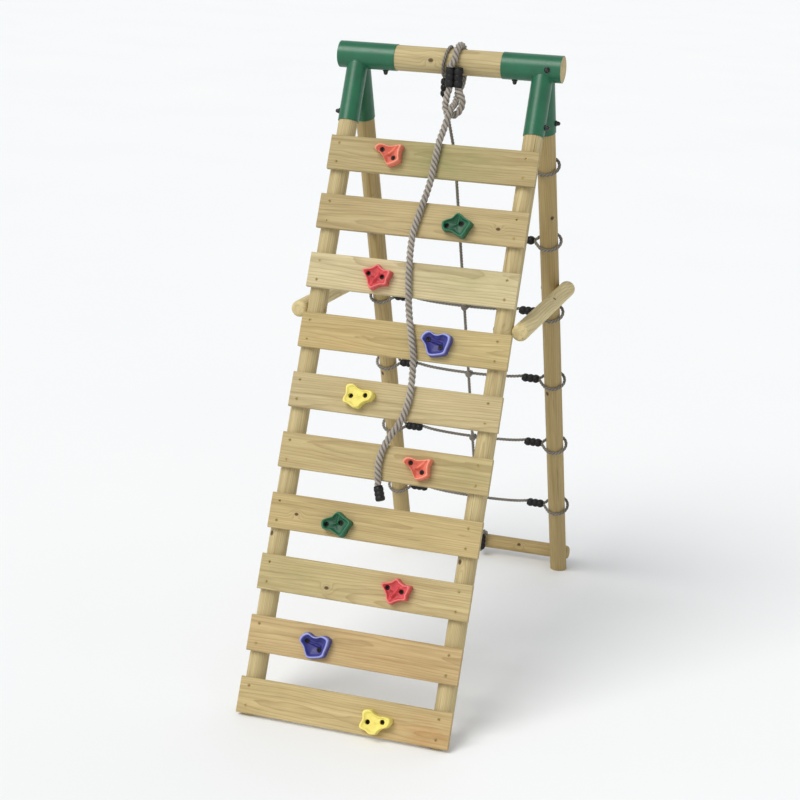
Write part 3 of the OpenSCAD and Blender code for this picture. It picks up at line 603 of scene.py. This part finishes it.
def barrel(name, radius, groove, length, place, squash=(1, 1), ribs=3):
    """Moulded clamp body with round ribs and softened ends."""
    half, root = length / 2, radius - groove
    profile = [(0.0004, -half), (root - 0.003, -half), (root - 0.0008, -half + 0.0006)]
    steps = ribs * 22
    for k in range(steps + 1):
        u = k / steps
        bulge = abs(math.sin(math.pi * ribs * u)) ** 0.55
        profile.append((radius - groove * (1 - bulge), -half + 0.0012 + (length - 0.0024) * u))
    profile += [(root - 0.0008, half - 0.0006), (root - 0.003, half), (0.0004, half)]
    return lathe(name, profile, 56, place, squash)


def lip(name, r_in, r_out, place):
    """Raised lip round a rope where it enters a clamp."""
    profile = [(r_in, -0.0015), (r_out - 0.0012, -0.0015), (r_out, 0.0), (r_out, 0.0012),
               (r_out - 0.0006, 0.0022), (r_out - 0.0016, 0.0026), (r_in, 0.0026), (r_in - 0.0002, 0.0018)]
    return lathe(name, profile, 40, place)


climb_fibre = rope_fibre("climbing_rope_fibre", lin((176, 168, 157)), lin((134, 126, 115)), ROPE_D)
net_fibre = rope_fibre("net_rope_fibre", lin((150, 144, 134)), lin((100, 94, 85)), NET_D)
black = plastic("black_moulded", lin((14, 13, 14)), rough=0.46, grain=1100, depth=0.0001, vary=0.25,
                specular=0.3)
CLAMP_R, END_CAP_L, END_CAP_OVERLAP, NOOSE_CLAMP_L = 0.016, 0.046, 0.032, 0.060


def climbing_rope(name, route, phase=0.0):
    rope = laid_rope(name, route, ROPE_D, CLIMB_LAY, 0.0016, 66, yarn=0.0006, phase=phase)
    finish_piece(rope, climb_fibre, SWING, [name.removesuffix("_laid")])
    return rope


def sideways(z):
    return np.cross([0.13, 0.2, 1.0], z)


def end_cap():
    """Clamp on the free end: it reaches back over the rope and stands past it."""
    end = on_wall(*WALL_ROUTE[-1])
    run = unit(end - on_wall(*WALL_ROUTE[-2]))
    body = barrel("rope_end_cap", CLAMP_R, 0.0022, END_CAP_L,
                  axes_at(end + run * (END_CAP_L / 2 - END_CAP_OVERLAP), run, sideways(run)))
    mouth = lip("rope_end_lip", 0.0118, 0.0148, axes_at(end + run * -END_CAP_OVERLAP, -run, sideways(-run)))
    cap = join([body, mouth], "rope_end_cap")
    finish_piece(cap, black, SWING, ["rope_end_clamp"])
    return cap


def noose_clamp():
    """Two barrels side by side, with a lip at both ends of each."""
    parts = []
    for k, bore in enumerate(BORES):
        centre = on_beam(bore * mm)
        parts.append(barrel(f"noose_barrel_{k}", CLAMP_R, 0.0024, NOOSE_CLAMP_L, axes_at(centre, Z, X)))
        for sign in (-1, 1):
            place = axes_at(centre + np.array([0, 0, sign * NOOSE_CLAMP_L / 2]), (0, 0, sign), X)
            parts.append(lip(f"noose_lip_{k}_{sign}", 0.0119, 0.0146, place))
    finish_piece(join(parts, "noose_clamp_moulded"), black, SWING, ["noose_clamp"])


route = smooth_path(free_route(), 10)
free = climbing_rope("climbing_rope_laid", route)
climbing_rope("climbing_rope_noose_laid", smooth_path(noose_route(), 10), phase=0.6)
cap = end_cap()
noose_clamp()

# ---- net, its points in millimetres --------------------------------------------------
# half the distance between a clamp's strands, its length, its distance from the leg, and the eyes' slope
STRAND_MM, CLAMP_MM, REACH_MM, TILT = 5.3, 55.0, 84.0, math.radians(18)
EYE_MM = LEG_MM + NET_MM + 5.0
EYE_SHIFT_MM = EYE_MM - (LEG_MM + NET_MM + GAP_MM + 0.4) / math.cos(TILT)
NET_S_MM = [365 + 297.8 * i for i in range(6)]
SAG_MM = 10.0
TOP_CLAMP = np.array([-16, 5, -87.0])
OVER_BEAM_MM = BEAM_MM + NET_MM + GAP_MM + 0.7
ROUND_RAIL_MM = RAIL_MM + NET_MM + GAP_MM + 1.3
LOW_CLAMP = np.array([0, -RAIL_MM - 14.5 - GAP_MM, 10.0])
UPRIGHT_FRONT_MM = 11.2
rail_low, rail_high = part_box("rear_rail")
RAIL = np.array([0, (rail_low.y + rail_high.y) / 2, (rail_low.z + rail_high.z) / 2])


def eye_points():
    """Along one strand of the clamp, round the leg and back along the other."""
    half = CLAMP_MM / 2
    p = [(x - REACH_MM, -STRAND_MM) for x in (-half + 4, 0, half + 1, half + 7)]
    for a in range(218, 503, 24):
        turn = math.radians(a)
        p.append((EYE_MM * math.cos(turn), EYE_MM * math.sin(turn) + EYE_SHIFT_MM))
    return p + [(x - REACH_MM, STRAND_MM) for x in (half + 7, half + 1, 0, -half - 1, -half - 8)]


def net_point(side, s, q):
    x, out = q
    return on_rear(side * (LEG_X_MM + x) * mm, out * math.cos(TILT) * mm, (s - out * math.sin(TILT)) * mm)


def net_route(s):
    """From the eye round the left leg, with a little sag, to the eye round the right leg."""
    inner = LEG_X_MM - REACH_MM - CLAMP_MM / 2 - 8
    middle = []
    for k in range(1, 16):
        u = (k - 8) / 8
        middle.append(on_rear(u * inner * mm, STRAND_MM * math.cos(TILT) * u ** 6 * mm,
                              (s + SAG_MM * (1 - u * u) - STRAND_MM * math.sin(TILT) * u ** 6) * mm))
    eye = eye_points()
    return [net_point(-1, s, q) for q in eye] + middle + [net_point(1, s, q) for q in eye[::-1]]


def upright_route():
    """Through the top clamp, round the beam, back and down the net, and round the foot rail."""
    h = CLAMP_MM / 2
    over = [TOP_CLAMP + [0, -STRAND_MM, z] for z in (-h + 4, 0, h + 1, h + 6)]
    for a in range(236, -57, -26):
        turn = math.radians(a)
        over.append(np.array([TOP_CLAMP[0] * (1 - math.sin(turn)) / 2, OVER_BEAM_MM * math.cos(turn),
                              OVER_BEAM_MM * math.sin(turn)]))
    over += [TOP_CLAMP + [0, STRAND_MM, z] for z in (h + 6, h + 1, 0, -h - 1, -h - 7)]
    down = np.arange(0, NET_S_MM[-1] + SAG_MM - NET_S_MM[0] + 40, 24)
    _, low_y, low_z = LOW_CLAMP
    foot = [np.array([-STRAND_MM, low_y, low_z + z]) for z in (h + 8, h + 1, 0, -h - 1, -h - 5)]
    foot.append(np.array([-STRAND_MM, low_y + 14, -ROUND_RAIL_MM * 0.96]))
    for a in range(-100, 111, 34):
        turn = math.radians(a)
        foot.append(np.array([STRAND_MM * (a - 5) / 105, ROUND_RAIL_MM * math.cos(turn),
                              ROUND_RAIL_MM * math.sin(turn)]))
    foot.append(np.array([STRAND_MM, low_y + 12, low_z + h + 14]))
    foot += [np.array([STRAND_MM, low_y, low_z + z]) for z in (h + 6, h + 1, 0, 4 - h)]
    return ([on_beam(q * mm) for q in over]
            + [on_rear(0, -UPRIGHT_FRONT_MM * mm, (NET_S_MM[0] - 20 + k) * mm) for k in down]
            + [RAIL + q * mm for q in foot])


def net_rope(name, route, phase=0.0):
    rope = laid_rope(f"{name}_laid", smooth_path(route, 8), NET_FULL, NET_LAY, 0.0016, 24, phase=phase)
    finish_piece(rope, net_fibre, ROOT, [name])


def net_clamp(name, origin, axis, apart):
    """Oval three-rib clamp with a lip round each strand; apart is the direction between its strands."""
    place = axes_at(origin, axis, apart)
    length = CLAMP_MM + 5
    parts = [barrel(name, 0.0162, 0.0042, length * mm, place, squash=(1.0, 0.88))]
    x, z, centre = place[:3, 0], place[:3, 2], place[:3, 3]
    for sx in (-1, 1):
        for sz in (-1, 1):
            mouth = centre + x * sx * STRAND_MM * mm + z * sz * length / 2 * mm
            parts.append(lip(f"{name}_{sx}{sz}", 0.0053, 0.0069, axes_at(mouth, z * sz, x)))
    return join(parts, name)


def lashing(name, centre, across, down, normal, phase):
    """Cord wound crosswise round two crossing ropes, four turns each way."""
    turns, steps = 4, 16
    p = []
    for which, (e1, e2) in enumerate(((across + down, across - down), (across - down, across + down))):
        e1, e2 = unit(e1), unit(e2)
        lift = 1 + 0.03 * which
        for k in range(turns * steps + 1):
            a = 2 * math.pi * k / steps + which * math.pi / 2
            ca, sa = math.cos(a), math.sin(a)
            p.append(centre + e1 * (k / steps - turns / 2) * 0.0042
                     + e2 * 0.0088 * lift * np.sign(ca) * abs(ca) ** 0.8
                     + normal * 0.0128 * lift * np.sign(sa) * abs(sa) ** 0.8)
    return laid_rope(name, smooth_path(p, 2), 0.0052, LASHING_LAY, 0.0014, 14, phase=phase)


for i, s in enumerate(NET_S_MM):
    net_rope(f"net_rope_{i + 1}", net_route(s), phase=i)
net_rope("net_rope_upright", upright_route())

for side, tag in ((-1, "left"), (1, "right")):
    apart = heading(on_rear, math.cos(TILT), -math.sin(TILT))
    parts = [net_clamp(f"net_clamp_{tag}_{i}", on_rear(side * (LEG_X - REACH_MM * mm), 0, s * mm), X, apart)
             for i, s in enumerate(NET_S_MM)]
    clamps = join(parts, f"net_clamps_{tag}_moulded")
    finish_piece(clamps, black, ROOT, [f"net_clamps_{tag}"])
for tag, origin, apart in (("top", on_beam(TOP_CLAMP * mm), Y), ("bottom", RAIL + LOW_CLAMP * mm, X)):
    clamp = net_clamp(f"net_clamp_{tag}_moulded", origin, Z, apart)
    finish_piece(clamp, black, ROOT, [f"net_clamp_{tag}"])

crossings = [on_rear(0, -UPRIGHT_FRONT_MM / 2 * mm, (s + SAG_MM) * mm) for s in NET_S_MM]
parts = [lashing(f"lashing_{i}", place, np.array([1.0, 0, 0]), DOWN_REAR, OUT_REAR, i)
         for i, place in enumerate(crossings)]
finish_piece(join_ropes(parts, "net_lashings"), net_fibre, ROOT, ["net_knots"])

# ---- woods ---------------------------------------------------------------------------
GREEN_STAIN, ORANGE_STAIN = lin((124, 130, 78)), lin((170, 112, 58))
BOARD_GRAIN = lin((118, 92, 48))
# each board: tone, pith (across, deep), knots, stains
BOARDS = [
    ((178, 162, 118), (0.02, -0.07), [], [(0.02, 0.0, 0.12, GREEN_STAIN, 0.75)]),
    ((184, 166, 122), (-0.03, -0.055), [(0.262, -0.006, 0.006)], []),
    ((202, 188, 148), (0.05, -0.10), [], [(0.2, 0.02, 0.10, GREEN_STAIN, 0.35)]),
    ((190, 172, 122), (0.00, -0.045), [], [(-0.2, -0.02, 0.12, ORANGE_STAIN, 0.22)]),
    ((190, 174, 132), (-0.06, -0.09), [], []),
    ((188, 170, 124), (0.03, -0.06), [], [(0.28, 0.0, 0.10, GREEN_STAIN, 0.3)]),
    ((188, 168, 120), (0.01, -0.036), [(-0.262, -0.004, 0.0055)], []),
    ((192, 174, 128), (-0.04, -0.08), [(-0.12, -0.022, 0.006)], [(-0.25, 0.0, 0.12, GREEN_STAIN, 0.3)]),
    ((192, 168, 122), (0.02, -0.05), [], [(0.1, -0.02, 0.16, ORANGE_STAIN, 0.2)]),
    ((194, 174, 126), (-0.02, -0.06), [], [(0.29, -0.03, 0.10, ORANGE_STAIN, 0.55)]),
]
BOARD_MIDDLE = [top + BOARD_H / 2 for top in BOARD_TOP]
for i, (tone, pith, knots, stains) in enumerate(BOARDS):
    centre = on_front((5 + BOARD_SHIFT_MM[i]) * mm, BOARD_FACE, BOARD_MIDDLE[i])
    set_material(f"board_{i + 1:02d}", wood(
        f"board_wood_{i + 1}", centre, X, -DOWN_FRONT, pith, lin(tone), BOARD_GRAIN, knots,
        ring=0.0046 + 0.0006 * (i % 3), seed=1.7 * i + 0.4, stains=stains))

POLE, REAR_POLE, SIDE_RAIL, FOOT_RAIL = (192, 176, 132), (176, 156, 110), (212, 196, 146), (182, 160, 112)
POLE_GRAIN = lin((124, 98, 52))


def pole(node, name, origin, grain, across, pith, tone, knots, ring, seed):
    set_material(node, wood(name, origin, grain, across, pith, lin(tone), POLE_GRAIN, knots, ring, seed))


pole("beam", "beam_wood", (0, BEAM_Y, BEAM_Z), X, Z, (0.012, 0.008), POLE, [(-0.055, 0.004, 0.0075)],
     ring=0.0052, seed=3.3)
for side, tag in ((-1, "left"), (1, "right")):
    pole(f"front_leg_{tag}", f"front_leg_wood_{tag}", on_front(side * LEG_X, 0, 0), DOWN_FRONT, X,
         (0.010 * side, 0.012), POLE, [(0.9, 0.02 * side, 0.006), (1.63, -0.018, 0.007)],
         ring=0.005, seed=5.1 + side)
    pole(f"rear_leg_{tag}", f"rear_leg_wood_{tag}", on_rear(side * LEG_X, 0, 0), DOWN_REAR, X,
         (-0.012 * side, 0.009), REAR_POLE, [(0.55, 0.02, 0.006), (1.30, -0.016, 0.007)],
         ring=0.005, seed=8.2 + side)
    low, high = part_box(f"side_rail_{tag}")
    pole(f"side_rail_{tag}", f"side_rail_wood_{tag}", ((low.x + high.x) / 2, 0, (low.z + high.z) / 2), Y, X,
         (0.009, 0.011), SIDE_RAIL, [(0.1, 0.015, 0.006)], ring=0.0048, seed=12.5 + side)
pole("rear_rail", "rear_rail_wood", tuple(RAIL), X, Z, (0.01, -0.012), FOOT_RAIL, [(0.15, 0.012, 0.006)],
     ring=0.0048, seed=17.2)

# ---- brackets ------------------------------------------------------------------------
FIT, SLEEVE_WALL, SOCKET_WALL = 0.00025, 0.0018, 0.0026
SLEEVE_R, SOCKET_R = BEAM_R + FIT + SLEEVE_WALL, LEG_R + FIT + SOCKET_WALL
green = paint("green_coated_steel", lin((24, 94, 64)), dusty=lin((60, 120, 92)))


def weld(name, side, slope, seed):
    """Rippled bead where a socket meets the sleeve, thinner at both ends."""
    socket, sleeve = 0.0348, 0.04455
    draws = np.random.default_rng(seed)
    points = []
    for k in range(121):
        a = math.radians(-62 + 304 * k / 120 - 90)
        u, v = socket * math.cos(a), socket * math.sin(a)
        points.append(slope(side * LEG_X + u, -v, math.sqrt(max(sleeve * sleeve - v * v, 0))))
    path, s = resample(np.array(points), 0.0011)
    radius = 0.0021 + 0.0003 * np.sin(2 * math.pi * s / 0.0042) + 0.0001 * draws.standard_normal(len(s))
    radius[:6] *= np.linspace(0.35, 1, 6)
    radius[-6:] *= np.linspace(1, 0.35, 6)
    return new_mesh(name, swept(path, circle(12), radius[:, None]), tube_faces(len(path), 12))


for side, tag in ((-1, "left"), (1, "right")):
    set_material(f"bracket_{tag}", green)
    soften_edges(f"bracket_{tag}", 0.0005, 50)
    beads = [weld(f"weld_{tag}_f", side, on_front, 3 + side), weld(f"weld_{tag}_r", side, on_rear, 7 + side)]
    finish_piece(join(beads, f"bracket_weld_{tag}"), green, ROOT)

# ---- screws and bolts ----------------------------------------------------------------
gloss_black = plastic("black_cap", lin((19, 19, 21)), rough=0.26, grain=700, depth=0.00004, vary=0.2)
zinc = steel("zinc_screw", lin((176, 154, 104)), 0.5)
dark_steel = steel("dark_bolt", lin((46, 42, 40)), 0.45)
LEG_SCREW_S, SLEEVE_SCREW_IN, SLEEVE_SCREW_OUT = 0.198, 0.136 - 0.040, 0.021


def cap_profile():
    """Washer, neck and dome of a screw's cap."""
    dome = [math.pi / 2 * k / 16 for k in range(17)]
    return [(0.0003, 0.0001), (0.0096, 0.0001), (0.0100, 0.0005), (0.0100, 0.0024), (0.0097, 0.0031),
            (0.0090, 0.0036), (0.0082, 0.0040), (0.0077, 0.0047)] + [
        (0.0075 * math.cos(a) ** 0.8 + 0.0001, 0.0052 + 0.0104 * math.sin(a)) for a in dome]


def shank(r, a, b):
    return [(0.0002, a), (r - 0.0004, a), (r, a + 0.0005), (r, b), (0.0002, b)]


def bracket_screws():
    parts = []
    for side in (-1, 1):
        beside, under = side * (LEG_X + SOCKET_R), side * (LEG_X - SLEEVE_SCREW_IN)
        facing = (side * (LEG_X + SLEEVE_SCREW_OUT), -side * SLEEVE_R, 0)
        places = [axes_at(on_front(beside, 0, LEG_SCREW_S), (side, 0, 0), Y),
                  axes_at(on_rear(beside, 0, LEG_SCREW_S), (side, 0, 0), Y),
                  axes_at(on_beam((under, 0, -SLEEVE_R)), -Z, Y),
                  axes_at(on_beam(facing), (0, -side, 0), X)]
        for k, place in enumerate(places):
            parts.append(lathe(f"cap_{side}_{k}", cap_profile(), 40, place))
            parts.append(lathe(f"cap_shank_{side}_{k}", shank(0.0039, -0.04, 0.0004), 20, place))
    finish_piece(join(parts, "bracket_screw_caps"), gloss_black, ROOT, ["bracket_screws"])


def countersunk(name, place, turn):
    """Countersunk head with a cross recess, on its shank."""
    sides, head = 48, 0.0047
    outside = [(0.0001, -0.0586), (0.0018, -0.0560), (0.0024, -0.052), (0.0024, -0.0034), (0.0027, -0.0030),
               (0.0046, -0.0006), (0.00475, -0.00035)]
    rings = [[(r * math.cos(a), r * math.sin(a), z) for a in circle(sides)] for r, z in outside]
    for share in (0.93, 0.80, 0.66, 0.54, 0.44, 0.35, 0.27, 0.19, 0.11, 0.03):
        ring = []
        for a in circle(sides) + turn:
            x, y = head * share * math.cos(a), head * share * math.sin(a)
            from_arm, reach = min(abs(x), abs(y)), max(abs(x), abs(y))
            recess = max(0.0, 1 - (from_arm / 0.00075) ** 4) * max(0.0, min(1.0, (0.0030 - reach) / 0.0005))
            ring.append((x, y, -0.00028 + 0.00012 * (1 - share) - 0.0016 * recess))
        rings.append(ring)
    return new_mesh(name, moved(np.array(rings).reshape(-1, 3), place), tube_faces(len(rings), sides))


def board_screws():
    parts = []
    for i, middle in enumerate(BOARD_MIDDLE):
        for side in (-1, 1):
            for up in (-1, 1):
                origin = on_front(side * LEG_X, BOARD_FACE, middle - up * 0.032)
                parts.append(countersunk(f"screw_{i}_{side}_{up}", axes_at(origin, OUT_FRONT, X),
                                         0.37 * i + side + 2.1 * up))
    finish_piece(join(parts, "board_screw_heads"), zinc, ROOT, ["board_screws"])


bracket_screws()
board_screws()
set_material("hold_bolts", dark_steel)
soften_edges("hold_bolts", 0.0005, 40)
set_material("rail_bolts", zinc)
soften_edges("rail_bolts", 0.0006, 30)

# ---- holds ---------------------------------------------------------------------------
HOLD_W, HOLD_H, HOLD_D, BORE_FLOOR, DISH_EDGE = 0.101, 0.086, 0.034, 0.011, 0.85
KINDS = ["tapered", "star", "ridged", "bean", "lobed"]
CORNERS = {  # outlines, as shares of half the width and half the height
    "tapered": [[-0.93, 0.42], [-0.74, 0.76], [-0.39, 0.8], [-0.02, 0.69], [0.33, 0.7], [0.93, 0.85],
                [0.87, 0.45], [0.86, -0.04], [0.88, -0.45], [0.22, -0.85], [0, -0.65], [-0.27, -0.16],
                [-0.55, 0.14]],
    "star": [[-0.99, 0.07], [-0.7, 0.32], [-0.36, 0.5], [0.01, 0.93], [0.5, 0.6], [0.99, 0.27],
             [0.81, -0.26], [0.51, -0.93], [0.14, -0.82], [-0.33, -0.56], [-0.87, -0.5]],
    "ridged": [[-0.98, 0.45], [-0.65, 0.59], [-0.31, 0.72], [0.03, 1], [0.26, 0.78], [0.59, 0.6],
               [0.98, 0.56], [0.95, 0.23], [0.83, -0.13], [0.81, -0.52], [0.43, -0.6], [0.1, -0.78],
               [-0.21, -1], [-0.43, -0.78], [-0.55, -0.37], [-0.72, -0.02]],
    "bean": [[-1, 0.33], [-0.83, 0.75], [-0.49, 0.95], [-0.12, 0.75], [0.21, 0.73], [0.59, 0.88],
             [0.99, 0.7], [1, 0.27], [0.88, -0.25], [0.74, -0.7], [0.19, -0.91], [-0.29, -0.95],
             [-0.49, -0.64], [-0.64, -0.22], [-0.81, 0.04]],
    "lobed": [[-0.92, 0.67], [-0.71, 0.89], [-0.4, 0.89], [-0.15, 0.67], [0.19, 0.54], [0.58, 0.58],
              [0.92, 0.49], [1, 0.19], [0.81, -0.18], [0.47, -0.36], [0.25, -0.59], [0.09, -0.85],
              [-0.28, -0.89], [-0.6, -0.68], [-0.96, -0.56], [-1, -0.27], [-0.88, 0.13]],
}
BOLTS_MM = {"tapered": [[-21, 17], [21, -9]], "star": [[-32, -6], [15, 5]], "ridged": [[-27, 9], [21, 2]],
            "bean": [[-26, 13], [18, -9]], "lobed": [[-25, -1], [23, 6]]}
# share of the dish's full depth, and ridges across it in millimetres: from, to, width, height
DISH = {"tapered": 0.9, "star": 0.85, "ridged": 0.75, "bean": 1.0, "lobed": 0.45}
WEBS_MM = {"tapered": [(6, 4, 30, 26, 5, 9), (-4, 2, 6, 4, 5, 5)],
           "star": [(-6, 2, 4, 4, 5, 4), (4, 4, 6, 26, 4, 5)],
           "ridged": [(-6, -14, 10, 12, 4.5, 9), (10, 12, 30, 20, 5, 6), (-6, -14, -12, -30, 4, 5)],
           "bean": [(-16, 10, 20, 2, 3.6, 10)],
           "lobed": [(-2, 4, 0, 6, 9, 4)]}
# side wall, rounded rim and dish: share of the outline, height
PROFILE = [(0.985, 0.000), (1.0, 0.0012), (1.0, 0.010), (0.996, 0.017), (0.984, 0.0235), (0.965, 0.0285),
           (0.938, 0.0318), (0.905, 0.0337), (0.872, 0.0340), (0.840, 0.0334), (0.812, 0.0318),
           (0.785, 0.0292), (0.758, 0.0260), (0.715, 0.0228), (0.640, 0.0205), (0.540, 0.0190),
           (0.430, 0.0180), (0.310, 0.0174), (0.200, 0.0172), (0.100, 0.0172), (0.030, 0.0173)]
# each kind: name, colour, roughness, variation, colours of the painted highlight on the rim and of the
# painted shade in the dish, and how strong the painted highlight is
SKINS = {
    "tapered": ("salmon", (226, 120, 96), 0.5, 0.08, (240, 164, 138), (176, 76, 58), 0.55),
    "star": ("green", (20, 90, 58), 0.5, 0.12, (62, 132, 98), (8, 56, 36), 0.4),
    "ridged": ("red", (208, 72, 76), 0.48, 0.08, (236, 136, 130), (158, 36, 46), 0.6),
    "bean": ("blue", (60, 64, 144), 0.48, 0.10, (158, 164, 222), (44, 40, 112), 0.95),
    "lobed": ("yellow", (228, 212, 104), 0.5, 0.07, (238, 226, 138), (188, 164, 62), 0.45),
}
hold_skins = {
    kind: plastic(f"hold_{name}_resin", lin(colour), rough, 1300, 0.00022, vary, rim=lin(rim), pit_shade=lin(pit_shade))
    for kind, (name, colour, rough, vary, rim, pit_shade, _) in SKINS.items()}


def relief(kind, k, z, outline, lobes):
    """Heights round one ring of a hold, k of the way out to its outline."""
    inner = 1 - min(1.0, k / 0.8)
    high = z / HOLD_D
    if kind in ("ridged", "star"):
        # ridges run from each point of the star to the middle, with hollows between
        depth = 0.0085 if kind == "ridged" else 0.006
        return z + (lobes - 0.55) * depth * math.sin(math.pi * min(1, max(0, (0.97 - k) / 0.97))) ** 0.8
    if kind == "bean":
        return z - (0.0062 * inner ** 0.6) + 0.0030 * outline[:, 1] * high * (k > 0.5)
    if kind == "tapered":
        slope = outline[:, 0] * 0.4 + outline[:, 1] * 0.6
        return z + 0.0035 * slope * high * (1 - inner) - 0.0035 * inner
    return z + (lobes - 0.5) * 0.0052 * high * (1 - inner * 0.4)


def web_height(flat, web):
    """Height of one soft ridge at points of the dish."""
    start, end = np.array(web[:2]) * mm, np.array(web[2:4]) * mm
    wide, tall = web[4] * mm, web[5] * mm
    t = np.clip(((flat - start) @ (end - start)) / np.dot(end - start, end - start), 0, 1)
    far = np.linalg.norm(flat - start - t[:, None] * (end - start), axis=1)
    return tall * np.exp(-(far / wide) ** 2)


def hold_shape(kind):
    """Moulded hold in its own frame: z out of the board, outline from the same corners as the CAD."""
    outline = closed_curve(CORNERS[kind], 9)
    reach = np.linalg.norm(outline, axis=1)
    lobes = (reach - reach.min()) / (reach.max() - reach.min())
    lobes = np.convolve(np.concatenate([lobes[-6:], lobes, lobes[:6]]), np.ones(13) / 13, "valid")
    rings = []
    for k, z in PROFILE:
        if k < DISH_EDGE:
            z = HOLD_D - (HOLD_D - z) * DISH[kind]
        height = relief(kind, k, z, outline, lobes)
        flat = outline * k * [HOLD_W / 2, HOLD_H / 2]
        if k < DISH_EDGE:
            for web in WEBS_MM[kind]:
                height = height + web_height(flat, web) * min(1.0, (DISH_EDGE - k) / 0.12)
        rings.append(np.column_stack([flat, np.clip(height, 0.0, HOLD_D + 0.0012)]))
    return np.concatenate(rings), tube_faces(len(PROFILE), len(outline))


def bore_hold(body, kind):
    """Cuts a counterbore and a hole for each bolt, then rounds every edge."""
    cuts = []
    for x, y in BOLTS_MM[kind]:
        for r, low, high in ((0.0080, BORE_FLOOR, 0.05), (0.0043, -0.002, BORE_FLOOR + 0.002)):
            cuts.append(lathe("cut", [(0.00001, low), (r, low), (r, high), (0.00001, high)], 40,
                              axes_at((x * mm, y * mm, 0), Z, X)))
            cut = body.modifiers.new("cut", "BOOLEAN")
            cut.operation, cut.object, cut.solver = "DIFFERENCE", cuts[-1], "EXACT"
    mould = body.modifiers.new("mould", "REMESH")
    mould.mode, mould.voxel_size = "VOXEL", 0.00125
    mould.use_smooth_shade = True
    soften = body.modifiers.new("soften", "SMOOTH")
    soften.factor, soften.iterations = 0.5, 4
    me = bpy.data.meshes.new_from_object(body.evaluated_get(bpy.context.evaluated_depsgraph_get()))
    body.modifiers.clear()
    for ob in cuts:
        bpy.data.objects.remove(ob)
    body.data = me


def rim_highlight_and_pit_shade(kind, co):
    """How near each point is to the crest of the rim and how deep in the dish: masks for a painted highlight
    on the crest and a painted shade in the dish.
    """
    outline = closed_curve(CORNERS[kind], 9) * [HOLD_W / 2, HOLD_H / 2]
    a = np.arctan2(outline[:, 1], outline[:, 0])
    order = np.argsort(a)
    radius = np.interp(np.arctan2(co[:, 1], co[:, 0]), a[order], np.linalg.norm(outline, axis=1)[order],
                       period=2 * math.pi)
    share = np.linalg.norm(co[:, :2], axis=1) / radius
    # painted highlight, strongest on the high crest of the rim
    rim = np.exp(-((share - 0.89) / 0.075) ** 2) * np.clip((co[:, 2] - 0.022) / 0.008, 0, 1)
    # painted shade, deepest low in the dish
    pit_shade = np.clip((0.74 - share) / 0.2, 0, 1) * np.clip((0.026 - co[:, 2]) / 0.008, 0, 1)
    return {"rim": rim * SKINS[kind][-1], "pit_shade": pit_shade * 0.8}


def build_hold(i):
    kind = KINDS[i % 5]
    body = new_mesh(f"hold_{i + 1:02d}_moulded", *hold_shape(kind))
    bore_hold(body, kind)
    me = body.data
    co = vertex_places(me)
    # the back stays off the board's face
    co[:, 2] = np.where(co[:, 2] < 0.0010, np.maximum(co[:, 2], 0.0001), co[:, 2])
    add_attributes(me, rim_highlight_and_pit_shade(kind, co))
    place = np.eye(4)
    place[:3, 0], place[:3, 1], place[:3, 2] = X, -DOWN_FRONT, OUT_FRONT
    place[:3, 3] = on_front(HOLD_X[i], BOARD_FACE, BOARD_MIDDLE[i] + HOLD_DROP[i])
    me.vertices.foreach_set("co", moved(co, place).ravel())
    me.update()
    finish_piece(body, hold_skins[kind], ROOT, [f"hold_{i + 1:02d}"])


for i in range(10):
    build_hold(i)

# ---- floor and light -----------------------------------------------------------------
FLOOR_REACH, FLOOR_DROP = 90.0, 0.0006
# bright wall round the studio, dimmer above: height, colour
STUDIO_WALL = [(0.24, (0.93, 0.945, 0.955, 1)), (0.55, (0.45, 0.46, 0.47, 1))]
# name, angle across in degrees, power, direction, colour
SUNS = [("key", 34, 2.12, (0.36, 0.62, -0.80), (1.0, 0.985, 0.95)),
        ("back", 60, 0.35, (-0.2, -0.9, -0.7), (0.97, 0.98, 1.0))]


def make_floor():
    n = Nodes("studio_floor")
    col = n.mix(n.noise(n.place(), 0.6, 2, 0.5), lin((236, 238, 240)), lin((241, 242, 243)))
    corners = [(x * FLOOR_REACH, y * FLOOR_REACH, 0) for x, y in ((-1, -1), (1, -1), (1, 1), (-1, 1))]
    floor = new_mesh("floor", corners, [(0, 1, 2, 3)], smooth=False)
    floor.data.materials.append(n.done(col, 0.9, specular=0.05))
    floor.location.z = -FLOOR_DROP


def make_world():
    world = bpy.data.worlds.new("studio")
    world.use_nodes = True
    tree = world.node_tree
    split = tree.nodes.new("ShaderNodeSeparateXYZ")
    tree.links.new(tree.nodes.new("ShaderNodeTexCoord").outputs["Generated"], split.inputs[0])
    ramp = tree.nodes.new("ShaderNodeValToRGB")
    for mark, (place, colour) in zip(ramp.color_ramp.elements, STUDIO_WALL):
        mark.position, mark.color = place, colour
    tree.links.new(split.outputs[2], ramp.inputs[0])
    tree.links.new(ramp.outputs[0], tree.nodes["Background"].inputs[0])
    tree.nodes["Background"].inputs[1].default_value = 1.0
    bpy.context.scene.world = world


def make_suns():
    for name, angle, power, towards, colour in SUNS:
        data = bpy.data.lights.new(name, "SUN")
        data.angle, data.energy, data.color = math.radians(angle), power, colour
        sun = bpy.data.objects.new(name, data)
        sun.rotation_euler = Vector(towards).to_track_quat("-Z", "Y").to_euler()
        bpy.context.collection.objects.link(sun)


make_floor()
make_world()
make_suns()
bpy.context.scene.view_settings.view_transform = "Standard"
